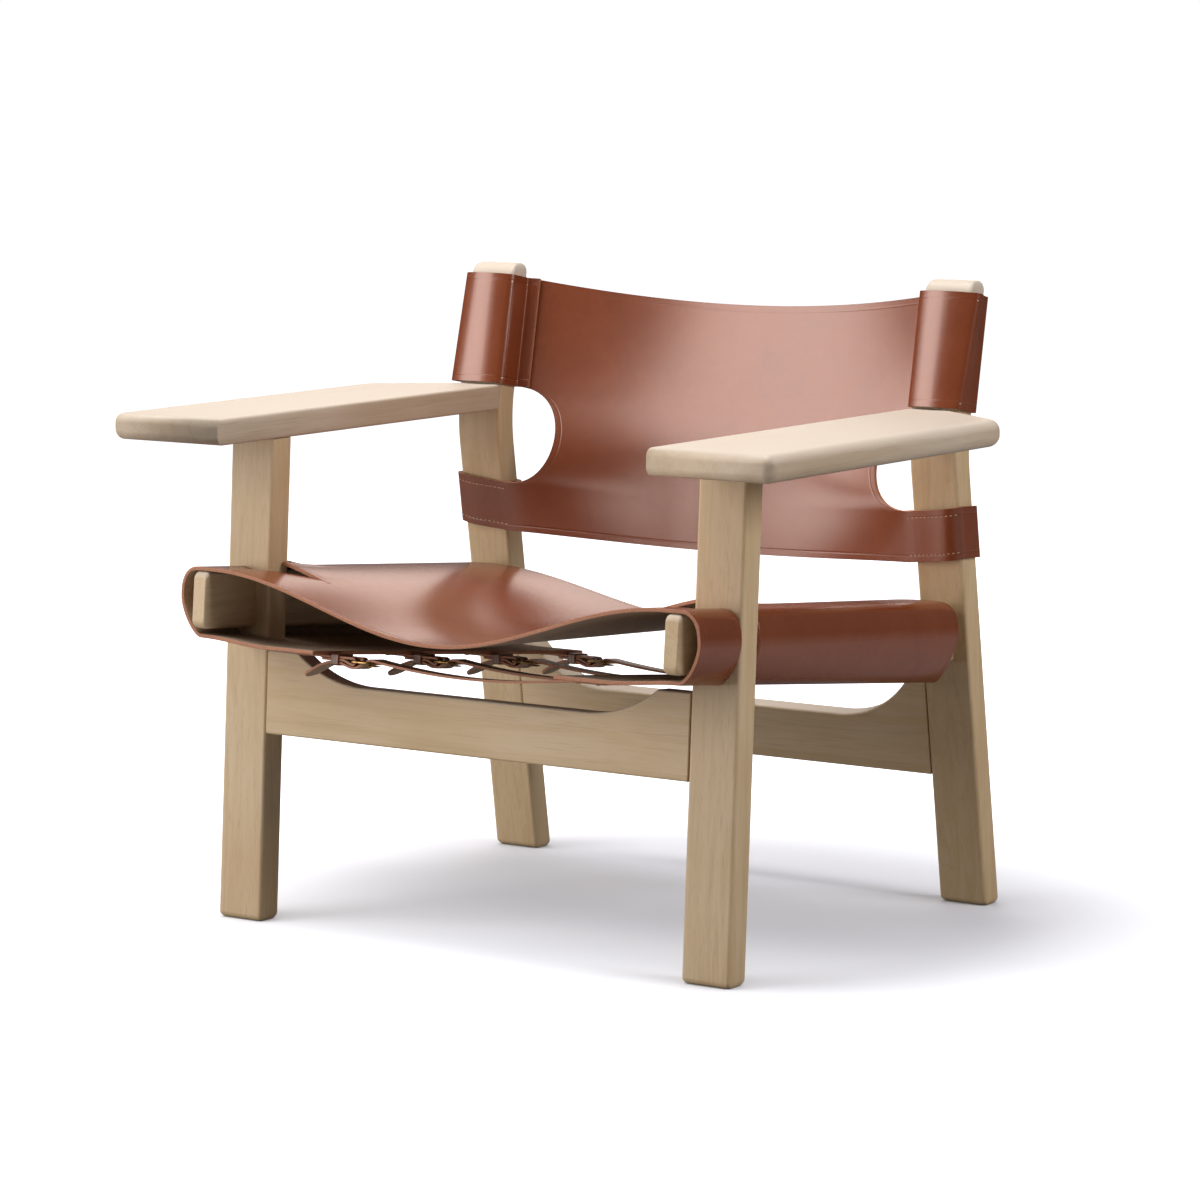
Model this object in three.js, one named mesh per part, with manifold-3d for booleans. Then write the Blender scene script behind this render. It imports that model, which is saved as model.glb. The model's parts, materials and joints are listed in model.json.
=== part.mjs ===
// A low lounge chair: an oak frame with thick saddle leather slung over its seat rails and round its
// rear posts, and straps with buckles under the seat that pull the seat leather tight.
// Millimetres. +Z is up, +Y runs to the back, +X to the right as seen from the front. Left means -X.

import * as THREE from 'three';
import { mergeVertices } from 'three/addons/utils/BufferGeometryUtils.js';
import Module from 'manifold-3d';

const wasm = await Module();
wasm.setup();

const degrees = THREE.MathUtils.degToRad;

// Gaps between pieces that touch
const JOINT_GAP = 0.3;

// Legs and posts
const FRAME_INNER_WIDTH = 535;
const LEG_WIDTH = 57;
const LEG_EDGE_RADIUS = 4;
const FOOT_RADIUS = 7;
const FOOT_SPACING = 498;
const FRONT_LEG_DEPTH = 31;
const FRONT_LEG_RAKE = degrees(3.8);
const REAR_LEG_DEPTH = 29.5;
const REAR_LEG_RAKE = degrees(8);
const POST_RAKE = degrees(11);
const POST_BEND_HEIGHT = 499;
const POST_BEND_REACH = 30;
const POST_TOP_HEIGHT = 670;
const POST_TOP_RADIUS = 12;

// Armrests
const ARMREST_SPAN = 825;
const ARMREST_TOP_HEIGHT = 537;
const ARMREST_THICKNESS = 28;
const ARMREST_FRONT_REACH = 92;
const ARMREST_REAR_SLANT = 55;
const ARMREST_FRONT_CORNER = 22;
const ARMREST_REAR_CORNER = 30;
const ARM_TENON_WIDTH = 36;
const ARM_TENON_THICKNESS = 12;
const ARM_TENON_LENGTH = 16;

// Seat rails, which pass through the legs
const SEAT_RAIL_THICKNESS = 20;
const SEAT_RAIL_HEIGHT = 60;
const SEAT_RAIL_EDGE_RADIUS = 5;
const SEAT_RAIL_END_RADIUS = 10;
const SEAT_RAIL_CENTRE_HEIGHT = 340;
const SEAT_RAIL_SLOPE = degrees(5.5);
const SEAT_RAIL_FRONT_REACH = 80;
const SEAT_RAIL_REAR_REACH = 8;

// Front and rear rails, with raised shoulders where they meet the legs
const RAIL_THICKNESS = 24;
const RAIL_EDGE_RADIUS = 2.5;
const RAIL_WAIST_HEIGHT = 58.5;
const FRONT_RAIL_CURVE_RADIUS = 140;
const FRONT_RAIL_SHOULDER_WIDTH = 40;
const REAR_RAIL_CURVE_RADIUS = 110;
const REAR_RAIL_SHOULDER_WIDTH = 24;
const RAIL_SHOULDER_GAP = 1;
const RAIL_TENON_THICKNESS = 10;
const RAIL_TENON_LENGTH = 25;
const RAIL_TENON_INSET = 10;
const FRONT_RAIL_DROP = 140;
const REAR_RAIL_DROP = 154;

// Seat leather
const LEATHER_THICKNESS = 4;
const SEAT_FRONT_SETBACK = 7;
const SEAT_REAR_GAP = 20;
const SEAT_FRONT_SAG = 58;
const SEAT_REAR_SAG = 42;
const SEAT_BULGE_ROOM = 16;
const SEAT_FRONT_SLACK = 6;
const SEAT_REAR_SLACK = 18;
const FLAP_REACH = 145;
const FLAP_FLAT = 60;
const FLAP_DROP = 6;
const FLAP_REAR_CUT = 10;
const LEG_SLOT_CLEARANCE = 0.8;
const LEG_SLIT_REACH = 62;
const LEG_SLIT_WIDTH = 7;

// Back leather
const SLEEVE_CLEARANCE = 0.4;
const SLEEVE_CORNER_RADIUS = 3;
const SLEEVE_FRONT_ROOM = 3;
const SLEEVE_FRONT_RADIUS = 6;
const SLEEVE_TOP_DROP = 12;
const SLEEVE_ARMREST_GAP = 1;
const BACK_STRAP_BOTTOM = 373;
const BACK_STRAP_HEIGHT = 55;
const BACK_STRAP_RISE = 0.125;
const PANEL_TOP_DEPTH = 75;
const PANEL_TOP_DIP = 23;
const PANEL_BOTTOM_DEPTH = 28;
const PANEL_BOTTOM_DIP = 10;
const PANEL_SEAM_INSET = 3;
const CUTOUT_REACH = 57;

// Straps and buckles under the seat
const STRAP_COUNT = 4;
const STRAP_WIDTH = 22;
const STRAP_THICKNESS = 2.5;
const STRAP_FRONT_INSET = 35;
const STRAP_REAR_INSET = 24;
const STRAP_LAP = 42;
const STRAP_FOLD = 40;
const STRAP_TAIL = 60;
const STRAP_TAIL_DROOP = 12;
const BILLET_SAG = 9;
const BUCKLE_FROM_FLAP = 32;
const BUCKLE_BAR = 3.2;
const BUCKLE_BAR_ROUNDING = 0.9;
const BUCKLE_LENGTH = 24;
const BUCKLE_SIDE_ROOM = 1;
const TONGUE_THICKNESS = 2.4;
const TONGUE_EYE_WALL = 1.1;
const TONGUE_EYE_WIDTH = 4.2;
const TONGUE_OVERHANG = 3;
const TONGUE_SLOT_WIDTH = 7;
const BILLET_SLOT_WIDTH = 4.2;
const BILLET_SLOT_START = 1.6;
const BILLET_SLOT_END = 18.5;
const BILLET_HOLE_RADIUS = 2;
const BILLET_HOLE_PITCH = 22;
const BILLET_HOLE_COUNT = 3;
const KEEPER_WIDTH = 9;
const KEEPER_THICKNESS = 1.6;
const KEEPER_OFFSET = 22;

// Finishes
const OAK = { color: 0xcdb48f, roughness: 0.6, metalness: 0 };
const SADDLE_LEATHER = { color: 0x8a4a2c, roughness: 0.42, metalness: 0 };
const STRAP_LEATHER = { color: 0x5a3322, roughness: 0.55, metalness: 0 };
const BRONZE = { color: 0x8c6a3c, roughness: 0.35, metalness: 1 };

const LEFT = -1;
const RIGHT = 1;
const SIDES = { left: LEFT, right: RIGHT };

// Places that several pieces share
const legInnerX = FRAME_INNER_WIDTH / 2;
const legOuterX = legInnerX + LEG_WIDTH;
const legCentreX = legInnerX + LEG_WIDTH / 2;
const armrestOuterX = ARMREST_SPAN / 2;
const armrestBottomHeight = ARMREST_TOP_HEIGHT - ARMREST_THICKNESS;
const frontFootY = -FOOT_SPACING / 2;
const rearFootY = FOOT_SPACING / 2;
const postBendY = rearFootY - POST_BEND_HEIGHT * Math.tan(REAR_LEG_RAKE);
const frontFaceY = (z) => frontFootY + z * Math.tan(FRONT_LEG_RAKE);
const lowerPostFaceY = (z) => rearFootY - z * Math.tan(REAR_LEG_RAKE);
const upperPostFaceY = (z) => postBendY + (z - POST_BEND_HEIGHT) * Math.tan(POST_RAKE);
const postFaceY = (z) => Math.max(lowerPostFaceY(z), upperPostFaceY(z));

const seatRailStartY = frontFaceY(SEAT_RAIL_CENTRE_HEIGHT);
const seatRailHeightAt = (y) => SEAT_RAIL_CENTRE_HEIGHT - (y - seatRailStartY) * Math.tan(SEAT_RAIL_SLOPE);
const seatRailRearZ = seatRailHeightAt(rearFootY);
const seatRailFrontY = seatRailStartY - SEAT_RAIL_FRONT_REACH;
const seatRailRearY = lowerPostFaceY(seatRailRearZ) + REAR_LEG_DEPTH + SEAT_RAIL_REAR_REACH;

const seatFrontY = seatRailFrontY + SEAT_FRONT_SETBACK;
const seatRearY = lowerPostFaceY(seatRailRearZ) - SEAT_REAR_GAP;
const flapRearY = seatRearY - FLAP_REAR_CUT;
const seatSlackAt = (y) => THREE.MathUtils.mapLinear(y, seatFrontY, seatRearY, SEAT_FRONT_SLACK, SEAT_REAR_SLACK);
const bulgeBottomAt = (y) => SEAT_RAIL_HEIGHT / 2 + seatSlackAt(y) + LEATHER_THICKNESS / 2;
const flapEndX = legCentreX - FLAP_REACH;
const flapFlatX = flapEndX + FLAP_FLAT;
const flapUndersideAt = (y) => seatRailHeightAt(y) - bulgeBottomAt(y) - FLAP_DROP - LEATHER_THICKNESS / 2;

// A closed solid for joining and cutting, from a geometry
function solidFrom(geometry) {
  const bare = geometry.clone();
  bare.deleteAttribute('normal');
  bare.deleteAttribute('uv');
  const merged = mergeVertices(bare, 1e-4);
  return new wasm.Manifold(new wasm.Mesh({
    numProp: 3,
    vertProperties: new Float32Array(merged.attributes.position.array),
    triVerts: new Uint32Array(merged.index.array),
  }));
}

// The geometry of a joined or cut solid
function geometryFrom(solid) {
  const mesh = solid.getMesh();
  const geometry = new THREE.BufferGeometry();
  geometry.setAttribute('position', new THREE.BufferAttribute(new Float32Array(mesh.vertProperties), 3));
  geometry.setIndex(new THREE.BufferAttribute(new Uint32Array(mesh.triVerts), 1));
  return geometry;
}

// One geometry, joined with some and cut by others
function carved(base, { joins = [], cuts = [] }) {
  let solid = solidFrom(base);
  for (const join of joins) {
    solid = solid.add(solidFrom(join));
  }
  for (const cut of cuts) {
    solid = solid.subtract(solidFrom(cut));
  }
  return geometryFrom(solid);
}

// The same geometry on the other side of the chair, still facing outwards
function mirrored(geometry) {
  const flipped = geometry.clone().scale(-1, 1, 1);
  const index = flipped.index ?? mergeVertices(flipped).index;
  const copy = flipped.index ? flipped : mergeVertices(flipped);
  const order = Array.from(index.array);
  for (let corner = 0; corner < order.length; corner += 3) {
    [order[corner + 1], order[corner + 2]] = [order[corner + 2], order[corner + 1]];
  }
  copy.setIndex(order);
  return copy;
}

const onSide = (side, geometry) => (side === RIGHT ? geometry : mirrored(geometry));

// A box between two corners
function boxBetween(low, high) {
  const box = new THREE.BoxGeometry(high[0] - low[0], high[1] - low[1], high[2] - low[2]);
  return box.translate((low[0] + high[0]) / 2, (low[1] + high[1]) / 2, (low[2] + high[2]) / 2);
}

// A closed outline whose corners [x, y, radius] are rounded
function roundedOutline(corners) {
  const shape = new THREE.Shape();
  corners.forEach(([x, y, radius], place) => {
    const here = new THREE.Vector2(x, y);
    const before = new THREE.Vector2(...corners.at(place - 1));
    const after = new THREE.Vector2(...corners[(place + 1) % corners.length]);
    const start = here.clone().add(before.sub(here).setLength(radius));
    const end = here.clone().add(after.sub(here).setLength(radius));
    if (place === 0) {
      shape.moveTo(start.x, start.y);
    } else {
      shape.lineTo(start.x, start.y);
    }
    if (radius > 0) {
      shape.quadraticCurveTo(x, y, end.x, end.y);
    }
  });
  shape.closePath();
  return shape;
}

// An outline given thickness, with its edges rounded inside the stated size
function roundedSlab(shape, thickness, edgeRadius, edgeSteps = 2, curveSegments = 5) {
  const slab = new THREE.ExtrudeGeometry(shape, {
    depth: thickness - 2 * edgeRadius,
    bevelEnabled: edgeRadius > 0,
    bevelSize: edgeRadius,
    bevelThickness: edgeRadius,
    bevelOffset: -edgeRadius,
    bevelSegments: edgeSteps,
    curveSegments,
  });
  return slab.translate(0, 0, edgeRadius - thickness / 2);
}

// A side profile in (Y, Z) given a width along X, centred on the given X
function acrossX(shape, width, centreX, edgeRadius) {
  const turn = new THREE.Matrix4().makeBasis(
    new THREE.Vector3(0, 1, 0), new THREE.Vector3(0, 0, 1), new THREE.Vector3(1, 0, 0));
  return roundedSlab(shape, width, edgeRadius).applyMatrix4(turn).translate(centreX, 0, 0);
}

// A sheet of even thickness on a grid of points: rows of Vector3, each row as long as the next
function sheetSolid(rows, thickness) {
  const rowCount = rows.length;
  const columnCount = rows[0].length;
  const pick = (row, column) => rows[THREE.MathUtils.clamp(row, 0, rowCount - 1)][
    THREE.MathUtils.clamp(column, 0, columnCount - 1)];
  const positions = [];
  for (const half of [0.5, -0.5]) {
    for (let row = 0; row < rowCount; row += 1) {
      for (let column = 0; column < columnCount; column += 1) {
        const along = pick(row + 1, column).clone().sub(pick(row - 1, column));
        const across = pick(row, column + 1).clone().sub(pick(row, column - 1));
        const normal = along.cross(across).normalize();
        positions.push(...pick(row, column).clone().addScaledVector(normal, half * thickness));
      }
    }
  }
  const layer = rowCount * columnCount;
  const top = (row, column) => row * columnCount + column;
  const under = (row, column) => layer + top(row, column);
  const triangles = [];
  const quad = (a, b, c, d) => triangles.push(a, b, c, a, c, d);
  for (let row = 0; row < rowCount - 1; row += 1) {
    for (let column = 0; column < columnCount - 1; column += 1) {
      quad(top(row, column), top(row + 1, column), top(row + 1, column + 1), top(row, column + 1));
      quad(under(row, column), under(row, column + 1), under(row + 1, column + 1), under(row + 1, column));
    }
  }
  const lastColumn = columnCount - 1;
  for (let row = 0; row < rowCount - 1; row += 1) {
    quad(top(row, 0), under(row, 0), under(row + 1, 0), top(row + 1, 0));
    quad(top(row + 1, lastColumn), under(row + 1, lastColumn), under(row, lastColumn), top(row, lastColumn));
  }
  const lastRow = rowCount - 1;
  for (let column = 0; column < columnCount - 1; column += 1) {
    quad(top(0, column + 1), under(0, column + 1), under(0, column), top(0, column));
    quad(top(lastRow, column), under(lastRow, column), under(lastRow, column + 1), top(lastRow, column + 1));
  }
  const geometry = new THREE.BufferGeometry();
  geometry.setAttribute('position', new THREE.Float32BufferAttribute(positions, 3));
  geometry.setIndex(triangles);
  return geometry;
}

// A strap seen from the side: a path of [x, z] points given thickness, then width along Y
function ribbon(path, thickness, width) {
  const points = path.map(([x, z]) => new THREE.Vector2(x, z));
  const offsetPoint = (point, place, side) => {
    const before = points[Math.max(place - 1, 0)];
    const after = points[Math.min(place + 1, points.length - 1)];
    const arriving = point.clone().sub(before).normalize();
    const leaving = after.clone().sub(point).normalize();
    const heading = arriving.clone().add(leaving).normalize();
    const mitre = Math.max(arriving.lengthSq() > 0 ? heading.dot(arriving) : heading.dot(leaving), 0.5);
    return new THREE.Vector2(-heading.y, heading.x).multiplyScalar(side * thickness / 2 / mitre).add(point);
  };
  const upper = points.map((point, place) => offsetPoint(point, place, 1));
  const lower = points.map((point, place) => offsetPoint(point, place, -1));
  const shape = new THREE.Shape([...lower, ...upper.reverse()]);
  const band = new THREE.ExtrudeGeometry(shape, { depth: width, bevelEnabled: false });
  return band.rotateX(Math.PI / 2).translate(0, width / 2, 0);
}

// A closed outline in plan, (X, Y), given a height along Z
function upright(shape, low, high, curveSegments = 6) {
  const post = new THREE.ExtrudeGeometry(shape, { depth: high - low, bevelEnabled: false, curveSegments });
  return post.translate(0, 0, low);
}

// Front leg: straight and raked, with the seat rail through it and a stub tenon into the armrest
const frontLegTopZ = armrestBottomHeight - JOINT_GAP;

function frontLegBlank(clearance = 0) {
  const bottomY = frontFaceY(0) - clearance;
  const topY = frontFaceY(frontLegTopZ) - clearance;
  const depth = FRONT_LEG_DEPTH + 2 * clearance;
  const profile = roundedOutline([
    [bottomY, 0, FOOT_RADIUS],
    [bottomY + depth, 0, FOOT_RADIUS],
    [topY + depth, frontLegTopZ, 0],
    [topY, frontLegTopZ, 0],
  ]);
  return acrossX(profile, LEG_WIDTH, legCentreX, LEG_EDGE_RADIUS);
}

function armTenonBox(gap) {
  const middleY = frontFaceY(frontLegTopZ) + FRONT_LEG_DEPTH / 2;
  return boxBetween(
    [legCentreX - ARM_TENON_WIDTH / 2 - gap, middleY - ARM_TENON_THICKNESS / 2 - gap, frontLegTopZ - 2],
    [legCentreX + ARM_TENON_WIDTH / 2 + gap, middleY + ARM_TENON_THICKNESS / 2 + gap,
      frontLegTopZ + ARM_TENON_LENGTH + gap],
  );
}

function frontLeg() {
  return carved(frontLegBlank(), {
    joins: [armTenonBox(0)],
    cuts: [seatRailBlank(JOINT_GAP), railTenon(frontRailPlace, JOINT_GAP)],
  });
}

// Rear leg: one bent board, leaning back below the bend and back again above it
function rearLegBlank(clearance = 0) {
  const bend = POST_BEND_REACH;
  const depth = REAR_LEG_DEPTH;
  const face = (z) => postFaceY(z) - clearance;
  const back = (z) => postFaceY(z) + depth + clearance;
  const low = POST_BEND_HEIGHT - bend;
  const high = POST_BEND_HEIGHT + bend;
  const top = POST_TOP_HEIGHT;
  const radius = POST_TOP_RADIUS;
  const topRoll = radius * Math.tan(POST_RAKE);
  const profile = new THREE.Shape();
  profile.moveTo(face(0) + FOOT_RADIUS, 0);
  profile.lineTo(back(0) - FOOT_RADIUS, 0);
  profile.quadraticCurveTo(back(0), 0, back(FOOT_RADIUS), FOOT_RADIUS);
  profile.lineTo(back(low), low);
  profile.quadraticCurveTo(back(POST_BEND_HEIGHT), POST_BEND_HEIGHT, back(high), high);
  profile.lineTo(back(top - radius), top - radius);
  profile.quadraticCurveTo(back(top), top, back(top) - radius - topRoll, top);
  profile.lineTo(face(top) + radius - topRoll, top);
  profile.quadraticCurveTo(face(top), top, face(top - radius), top - radius);
  profile.lineTo(face(high), high);
  profile.quadraticCurveTo(face(POST_BEND_HEIGHT), POST_BEND_HEIGHT, face(low), low);
  profile.lineTo(face(FOOT_RADIUS), FOOT_RADIUS);
  profile.quadraticCurveTo(face(0), 0, face(0) + FOOT_RADIUS, 0);
  return acrossX(profile, LEG_WIDTH + 2 * clearance, legCentreX, clearance > 0 ? 0 : LEG_EDGE_RADIUS);
}

function armPostTenon(gap) {
  const middleZ = ARMREST_TOP_HEIGHT - ARMREST_THICKNESS / 2;
  const seatY = postFaceY(middleZ);
  return boxBetween(
    [legCentreX - ARM_TENON_WIDTH / 2 - gap, seatY - ARM_TENON_LENGTH, middleZ - ARM_TENON_THICKNESS / 2 - gap],
    [legCentreX + ARM_TENON_WIDTH / 2 + gap, seatY + ARM_TENON_LENGTH + gap,
      middleZ + ARM_TENON_THICKNESS / 2 + gap],
  );
}

function rearLeg() {
  return carved(rearLegBlank(), {
    cuts: [seatRailBlank(JOINT_GAP), railTenon(rearRailPlace, JOINT_GAP), armPostTenon(JOINT_GAP)],
  });
}

// Seat rail: a board on edge that slopes down to the back, with rounded ends
function seatRailBlank(clearance = 0) {
  const half = SEAT_RAIL_HEIGHT / 2 + clearance;
  const length = (seatRailRearY - seatRailFrontY) / Math.cos(SEAT_RAIL_SLOPE);
  const reach = SEAT_RAIL_FRONT_REACH / Math.cos(SEAT_RAIL_SLOPE);
  const profile = roundedOutline([
    [-reach, -half, SEAT_RAIL_END_RADIUS],
    [length - reach, -half, SEAT_RAIL_END_RADIUS],
    [length - reach, half, SEAT_RAIL_END_RADIUS],
    [-reach, half, SEAT_RAIL_END_RADIUS],
  ]);
  const edge = SEAT_RAIL_EDGE_RADIUS;
  const board = acrossX(profile, SEAT_RAIL_THICKNESS + 2 * clearance, 0, edge);
  return board.rotateX(-SEAT_RAIL_SLOPE).translate(legCentreX, seatRailStartY, SEAT_RAIL_CENTRE_HEIGHT);
}

// Front and rear rails lie in the raked plane of the legs' front faces. A place says where that plane
// starts on the floor, how it leans, the heights of the rail's bottom edge and shoulders, and where and how
// widely the top edge sweeps up to a shoulder.
const frontRailBottom = SEAT_RAIL_CENTRE_HEIGHT - FRONT_RAIL_DROP;
const rearRailBottom = seatRailRearZ - REAR_RAIL_DROP;
const bulgeUndersideAt = (y) => seatRailHeightAt(y) - bulgeBottomAt(y) - LEATHER_THICKNESS / 2;
const frontRailPlace = {
  footY: frontFootY,
  lean: -FRONT_LEG_RAKE,
  bottom: frontRailBottom,
  shoulder: flapUndersideAt(seatRailStartY + RAIL_THICKNESS) - RAIL_SHOULDER_GAP,
  shoulderX: legInnerX - FRONT_RAIL_SHOULDER_WIDTH,
  radius: FRONT_RAIL_CURVE_RADIUS,
};
const rearRailPlace = {
  footY: rearFootY,
  lean: REAR_LEG_RAKE,
  bottom: rearRailBottom,
  shoulder: bulgeUndersideAt(lowerPostFaceY(rearRailBottom)) - RAIL_SHOULDER_GAP,
  shoulderX: legInnerX - REAR_RAIL_SHOULDER_WIDTH,
  radius: REAR_RAIL_CURVE_RADIUS,
};

const onLegPlane = (geometry, place) => geometry.rotateX(place.lean).translate(0, place.footY, 0);

function railTenon(place, gap) {
  const slant = 1 / Math.cos(place.lean);
  const middle = RAIL_THICKNESS / 2;
  const tenon = boxBetween(
    [legInnerX - RAIL_EDGE_RADIUS - JOINT_GAP, middle - RAIL_TENON_THICKNESS / 2 - gap,
      place.bottom * slant + RAIL_TENON_INSET - gap],
    [legInnerX + RAIL_TENON_LENGTH + gap, middle + RAIL_TENON_THICKNESS / 2 + gap,
      (place.bottom + RAIL_WAIST_HEIGHT) * slant + gap],
  );
  return onLegPlane(tenon, place);
}

function crossRail(place) {
  const slant = 1 / Math.cos(place.lean);
  const bottom = place.bottom * slant;
  const waist = bottom + RAIL_WAIST_HEIGHT;
  const shoulder = place.shoulder * slant;
  const rise = shoulder - waist;
  const end = legInnerX - JOINT_GAP;
  const { shoulderX, radius } = place;
  const sweep = Math.acos(1 - rise / radius);
  const curveX = shoulderX - radius * Math.sin(sweep);
  const down = -Math.PI / 2;
  const profile = new THREE.Shape();
  profile.moveTo(-end, bottom);
  profile.lineTo(end, bottom);
  profile.lineTo(end, shoulder);
  profile.lineTo(shoulderX, shoulder);
  profile.absarc(curveX, waist + radius, radius, down + sweep, down, true);
  profile.absarc(-curveX, waist + radius, radius, down, down - sweep, true);
  profile.lineTo(-end, shoulder);
  profile.closePath();
  const board = roundedSlab(profile, RAIL_THICKNESS, RAIL_EDGE_RADIUS, 2, 8);
  board.rotateX(Math.PI / 2).translate(0, RAIL_THICKNESS / 2, 0);
  const tenon = railTenon(place, 0);
  return carved(onLegPlane(board, place), { joins: [tenon, mirrored(tenon)] });
}

// Armrest: a wide board with round edges, flush with the legs inside and cut slanting to the post
function armrest() {
  const middleZ = ARMREST_TOP_HEIGHT - ARMREST_THICKNESS / 2;
  const frontY = frontFaceY(middleZ) - ARMREST_FRONT_REACH;
  const postY = postFaceY(ARMREST_TOP_HEIGHT) + REAR_LEG_DEPTH / 2;
  const slantY = postFaceY(middleZ) - ARMREST_REAR_SLANT;
  const trim = ARMREST_THICKNESS;
  const slant = (armrestOuterX - legOuterX) / ARMREST_REAR_SLANT;
  const outline = roundedOutline([
    [legInnerX - trim, frontY, 0],
    [armrestOuterX, frontY, ARMREST_FRONT_CORNER],
    [armrestOuterX, slantY, ARMREST_REAR_CORNER],
    [armrestOuterX - (postY - slantY) * slant, postY, 0],
    [legInnerX - trim, postY, 0],
  ]);
  const edgeRadius = ARMREST_THICKNESS / 2 - 0.4;
  const board = roundedSlab(outline, ARMREST_THICKNESS, edgeRadius, 4).translate(0, 0, middleZ);
  const inside = boxBetween(
    [legInnerX - 2 * trim, frontY - trim, armrestBottomHeight - trim],
    [legInnerX, postY + trim, ARMREST_TOP_HEIGHT + trim],
  );
  return carved(geometryFrom(
    solidFrom(board)
      .subtract(solidFrom(inside))
      .subtract(solidFrom(rearLegBlank(JOINT_GAP)))
      .add(solidFrom(armPostTenon(0))),
  ), { cuts: [armTenonBox(JOINT_GAP)] });
}

// Seat leather. Its section runs from the middle of the seat out over the rail, round in a wide bulge,
// and back under the rail as a flap.
const SAG_STEPS = 12;
const BULGE_STEPS = 12;
const SEAT_DEPTH_STEPS = 8;
const BULGE_UPPER_SQUARENESS = 2.5;
const BULGE_LOWER_SQUARENESS = 1.5;

function seatSectionAt(progress) {
  const sag = THREE.MathUtils.lerp(SEAT_FRONT_SAG, SEAT_REAR_SAG, progress);
  const crest = (SEAT_RAIL_HEIGHT / 2 + LEATHER_THICKNESS / 2) / Math.cos(SEAT_RAIL_SLOPE) + JOINT_GAP;
  const bulgeX = legCentreX + SEAT_RAIL_THICKNESS / 2 - SEAT_RAIL_EDGE_RADIUS;
  const width = SEAT_RAIL_EDGE_RADIUS + SEAT_BULGE_ROOM + LEATHER_THICKNESS / 2;
  const sagX = legCentreX - SEAT_RAIL_THICKNESS / 2;
  const yAt = (rear) => THREE.MathUtils.lerp(seatFrontY, rear, progress);
  const section = [];
  for (let step = 0; step <= SAG_STEPS; step += 1) {
    const x = sagX * step / SAG_STEPS;
    const fall = sag * Math.cos(Math.PI / 2 * step / SAG_STEPS) ** 2;
    section.push({ x, rise: crest - fall, y: yAt(seatRearY) });
  }
  for (let step = 0; step <= BULGE_STEPS; step += 1) {
    const angle = Math.PI / 2 - Math.PI * step / BULGE_STEPS;
    const below = Math.max(-Math.sin(angle), 0);
    const y = yAt(seatRearY - FLAP_REAR_CUT * below);
    const height = angle > 0 ? crest : bulgeBottomAt(y);
    const power = 2 / (angle > 0 ? BULGE_UPPER_SQUARENESS : BULGE_LOWER_SQUARENESS);
    section.push({
      x: bulgeX + width * Math.max(Math.cos(angle), 0) ** power,
      rise: height * Math.sign(Math.sin(angle)) * Math.abs(Math.sin(angle)) ** power,
      y,
    });
  }
  const flapY = yAt(flapRearY);
  const flapRise = -bulgeBottomAt(flapY) - FLAP_DROP;
  section.push({ x: (legCentreX + flapFlatX) / 2, rise: flapRise + FLAP_DROP / 2, y: flapY });
  section.push({ x: flapFlatX, rise: flapRise, y: flapY });
  section.push({ x: flapEndX, rise: flapRise, y: flapY });
  const half = section.map(({ x, rise, y }) => new THREE.Vector3(x, y, seatRailHeightAt(y) + rise));
  const other = half.slice(1).reverse().map((point) => point.clone().setX(-point.x));
  return [...other, ...half];
}

// What is cut out of the leather for a front leg: the leg's own section, and a slit running inwards
function legSlot() {
  const slit = LEG_SLIT_WIDTH / 2;
  const half = FRONT_LEG_DEPTH / 2 + LEG_SLOT_CLEARANCE;
  const mouth = legInnerX - LEG_SLOT_CLEARANCE;
  const outside = legOuterX + SEAT_BULGE_ROOM;
  const outline = roundedOutline([
    [legInnerX - LEG_SLIT_REACH, -slit, slit * 0.9],
    [mouth, -slit, 0],
    [mouth, -half, 0],
    [outside, -half, 0],
    [outside, half, 0],
    [mouth, half, 0],
    [mouth, slit, 0],
    [legInnerX - LEG_SLIT_REACH, slit, slit * 0.9],
  ]);
  const reach = SEAT_RAIL_CENTRE_HEIGHT / 2;
  const cutter = upright(outline, -reach, reach);
  cutter.applyMatrix4(new THREE.Matrix4().makeShear(0, 0, 0, 0, 0, Math.tan(FRONT_LEG_RAKE)));
  return cutter.translate(0, seatRailStartY + FRONT_LEG_DEPTH / 2, SEAT_RAIL_CENTRE_HEIGHT);
}

function seatSling() {
  const rows = [];
  for (let step = 0; step <= SEAT_DEPTH_STEPS; step += 1) {
    rows.push(seatSectionAt(step / SEAT_DEPTH_STEPS));
  }
  const slot = legSlot();
  return carved(sheetSolid(rows, LEATHER_THICKNESS), { cuts: [slot, mirrored(slot)] });
}

// Back leather. Sleeves slip over the posts above the armrests, lower loops go round the posts below
// them, and one panel curves backwards between them, cut away in a half round beside each armrest.
function postLoop(depth, frontRoom, frontCorner) {
  const inner = LEG_WIDTH / 2 + SLEEVE_CLEARANCE;
  const outer = inner + LEATHER_THICKNESS;
  const front = -SLEEVE_CLEARANCE - frontRoom;
  const rear = depth + SLEEVE_CLEARANCE;
  const rearCorner = SLEEVE_CORNER_RADIUS;
  const loop = roundedOutline([
    [-outer, front - LEATHER_THICKNESS, frontCorner + LEATHER_THICKNESS],
    [outer, front - LEATHER_THICKNESS, frontCorner + LEATHER_THICKNESS],
    [outer, rear + LEATHER_THICKNESS, rearCorner + LEATHER_THICKNESS],
    [-outer, rear + LEATHER_THICKNESS, rearCorner + LEATHER_THICKNESS],
  ]);
  loop.holes.push(roundedOutline([
    [-inner, front, frontCorner],
    [-inner, rear, rearCorner],
    [inner, rear, rearCorner],
    [inner, front, frontCorner],
  ]));
  return loop;
}

const sleeveBottomZ = ARMREST_TOP_HEIGHT + SLEEVE_ARMREST_GAP;
const sleeveTopZ = POST_TOP_HEIGHT - SLEEVE_TOP_DROP;

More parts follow.
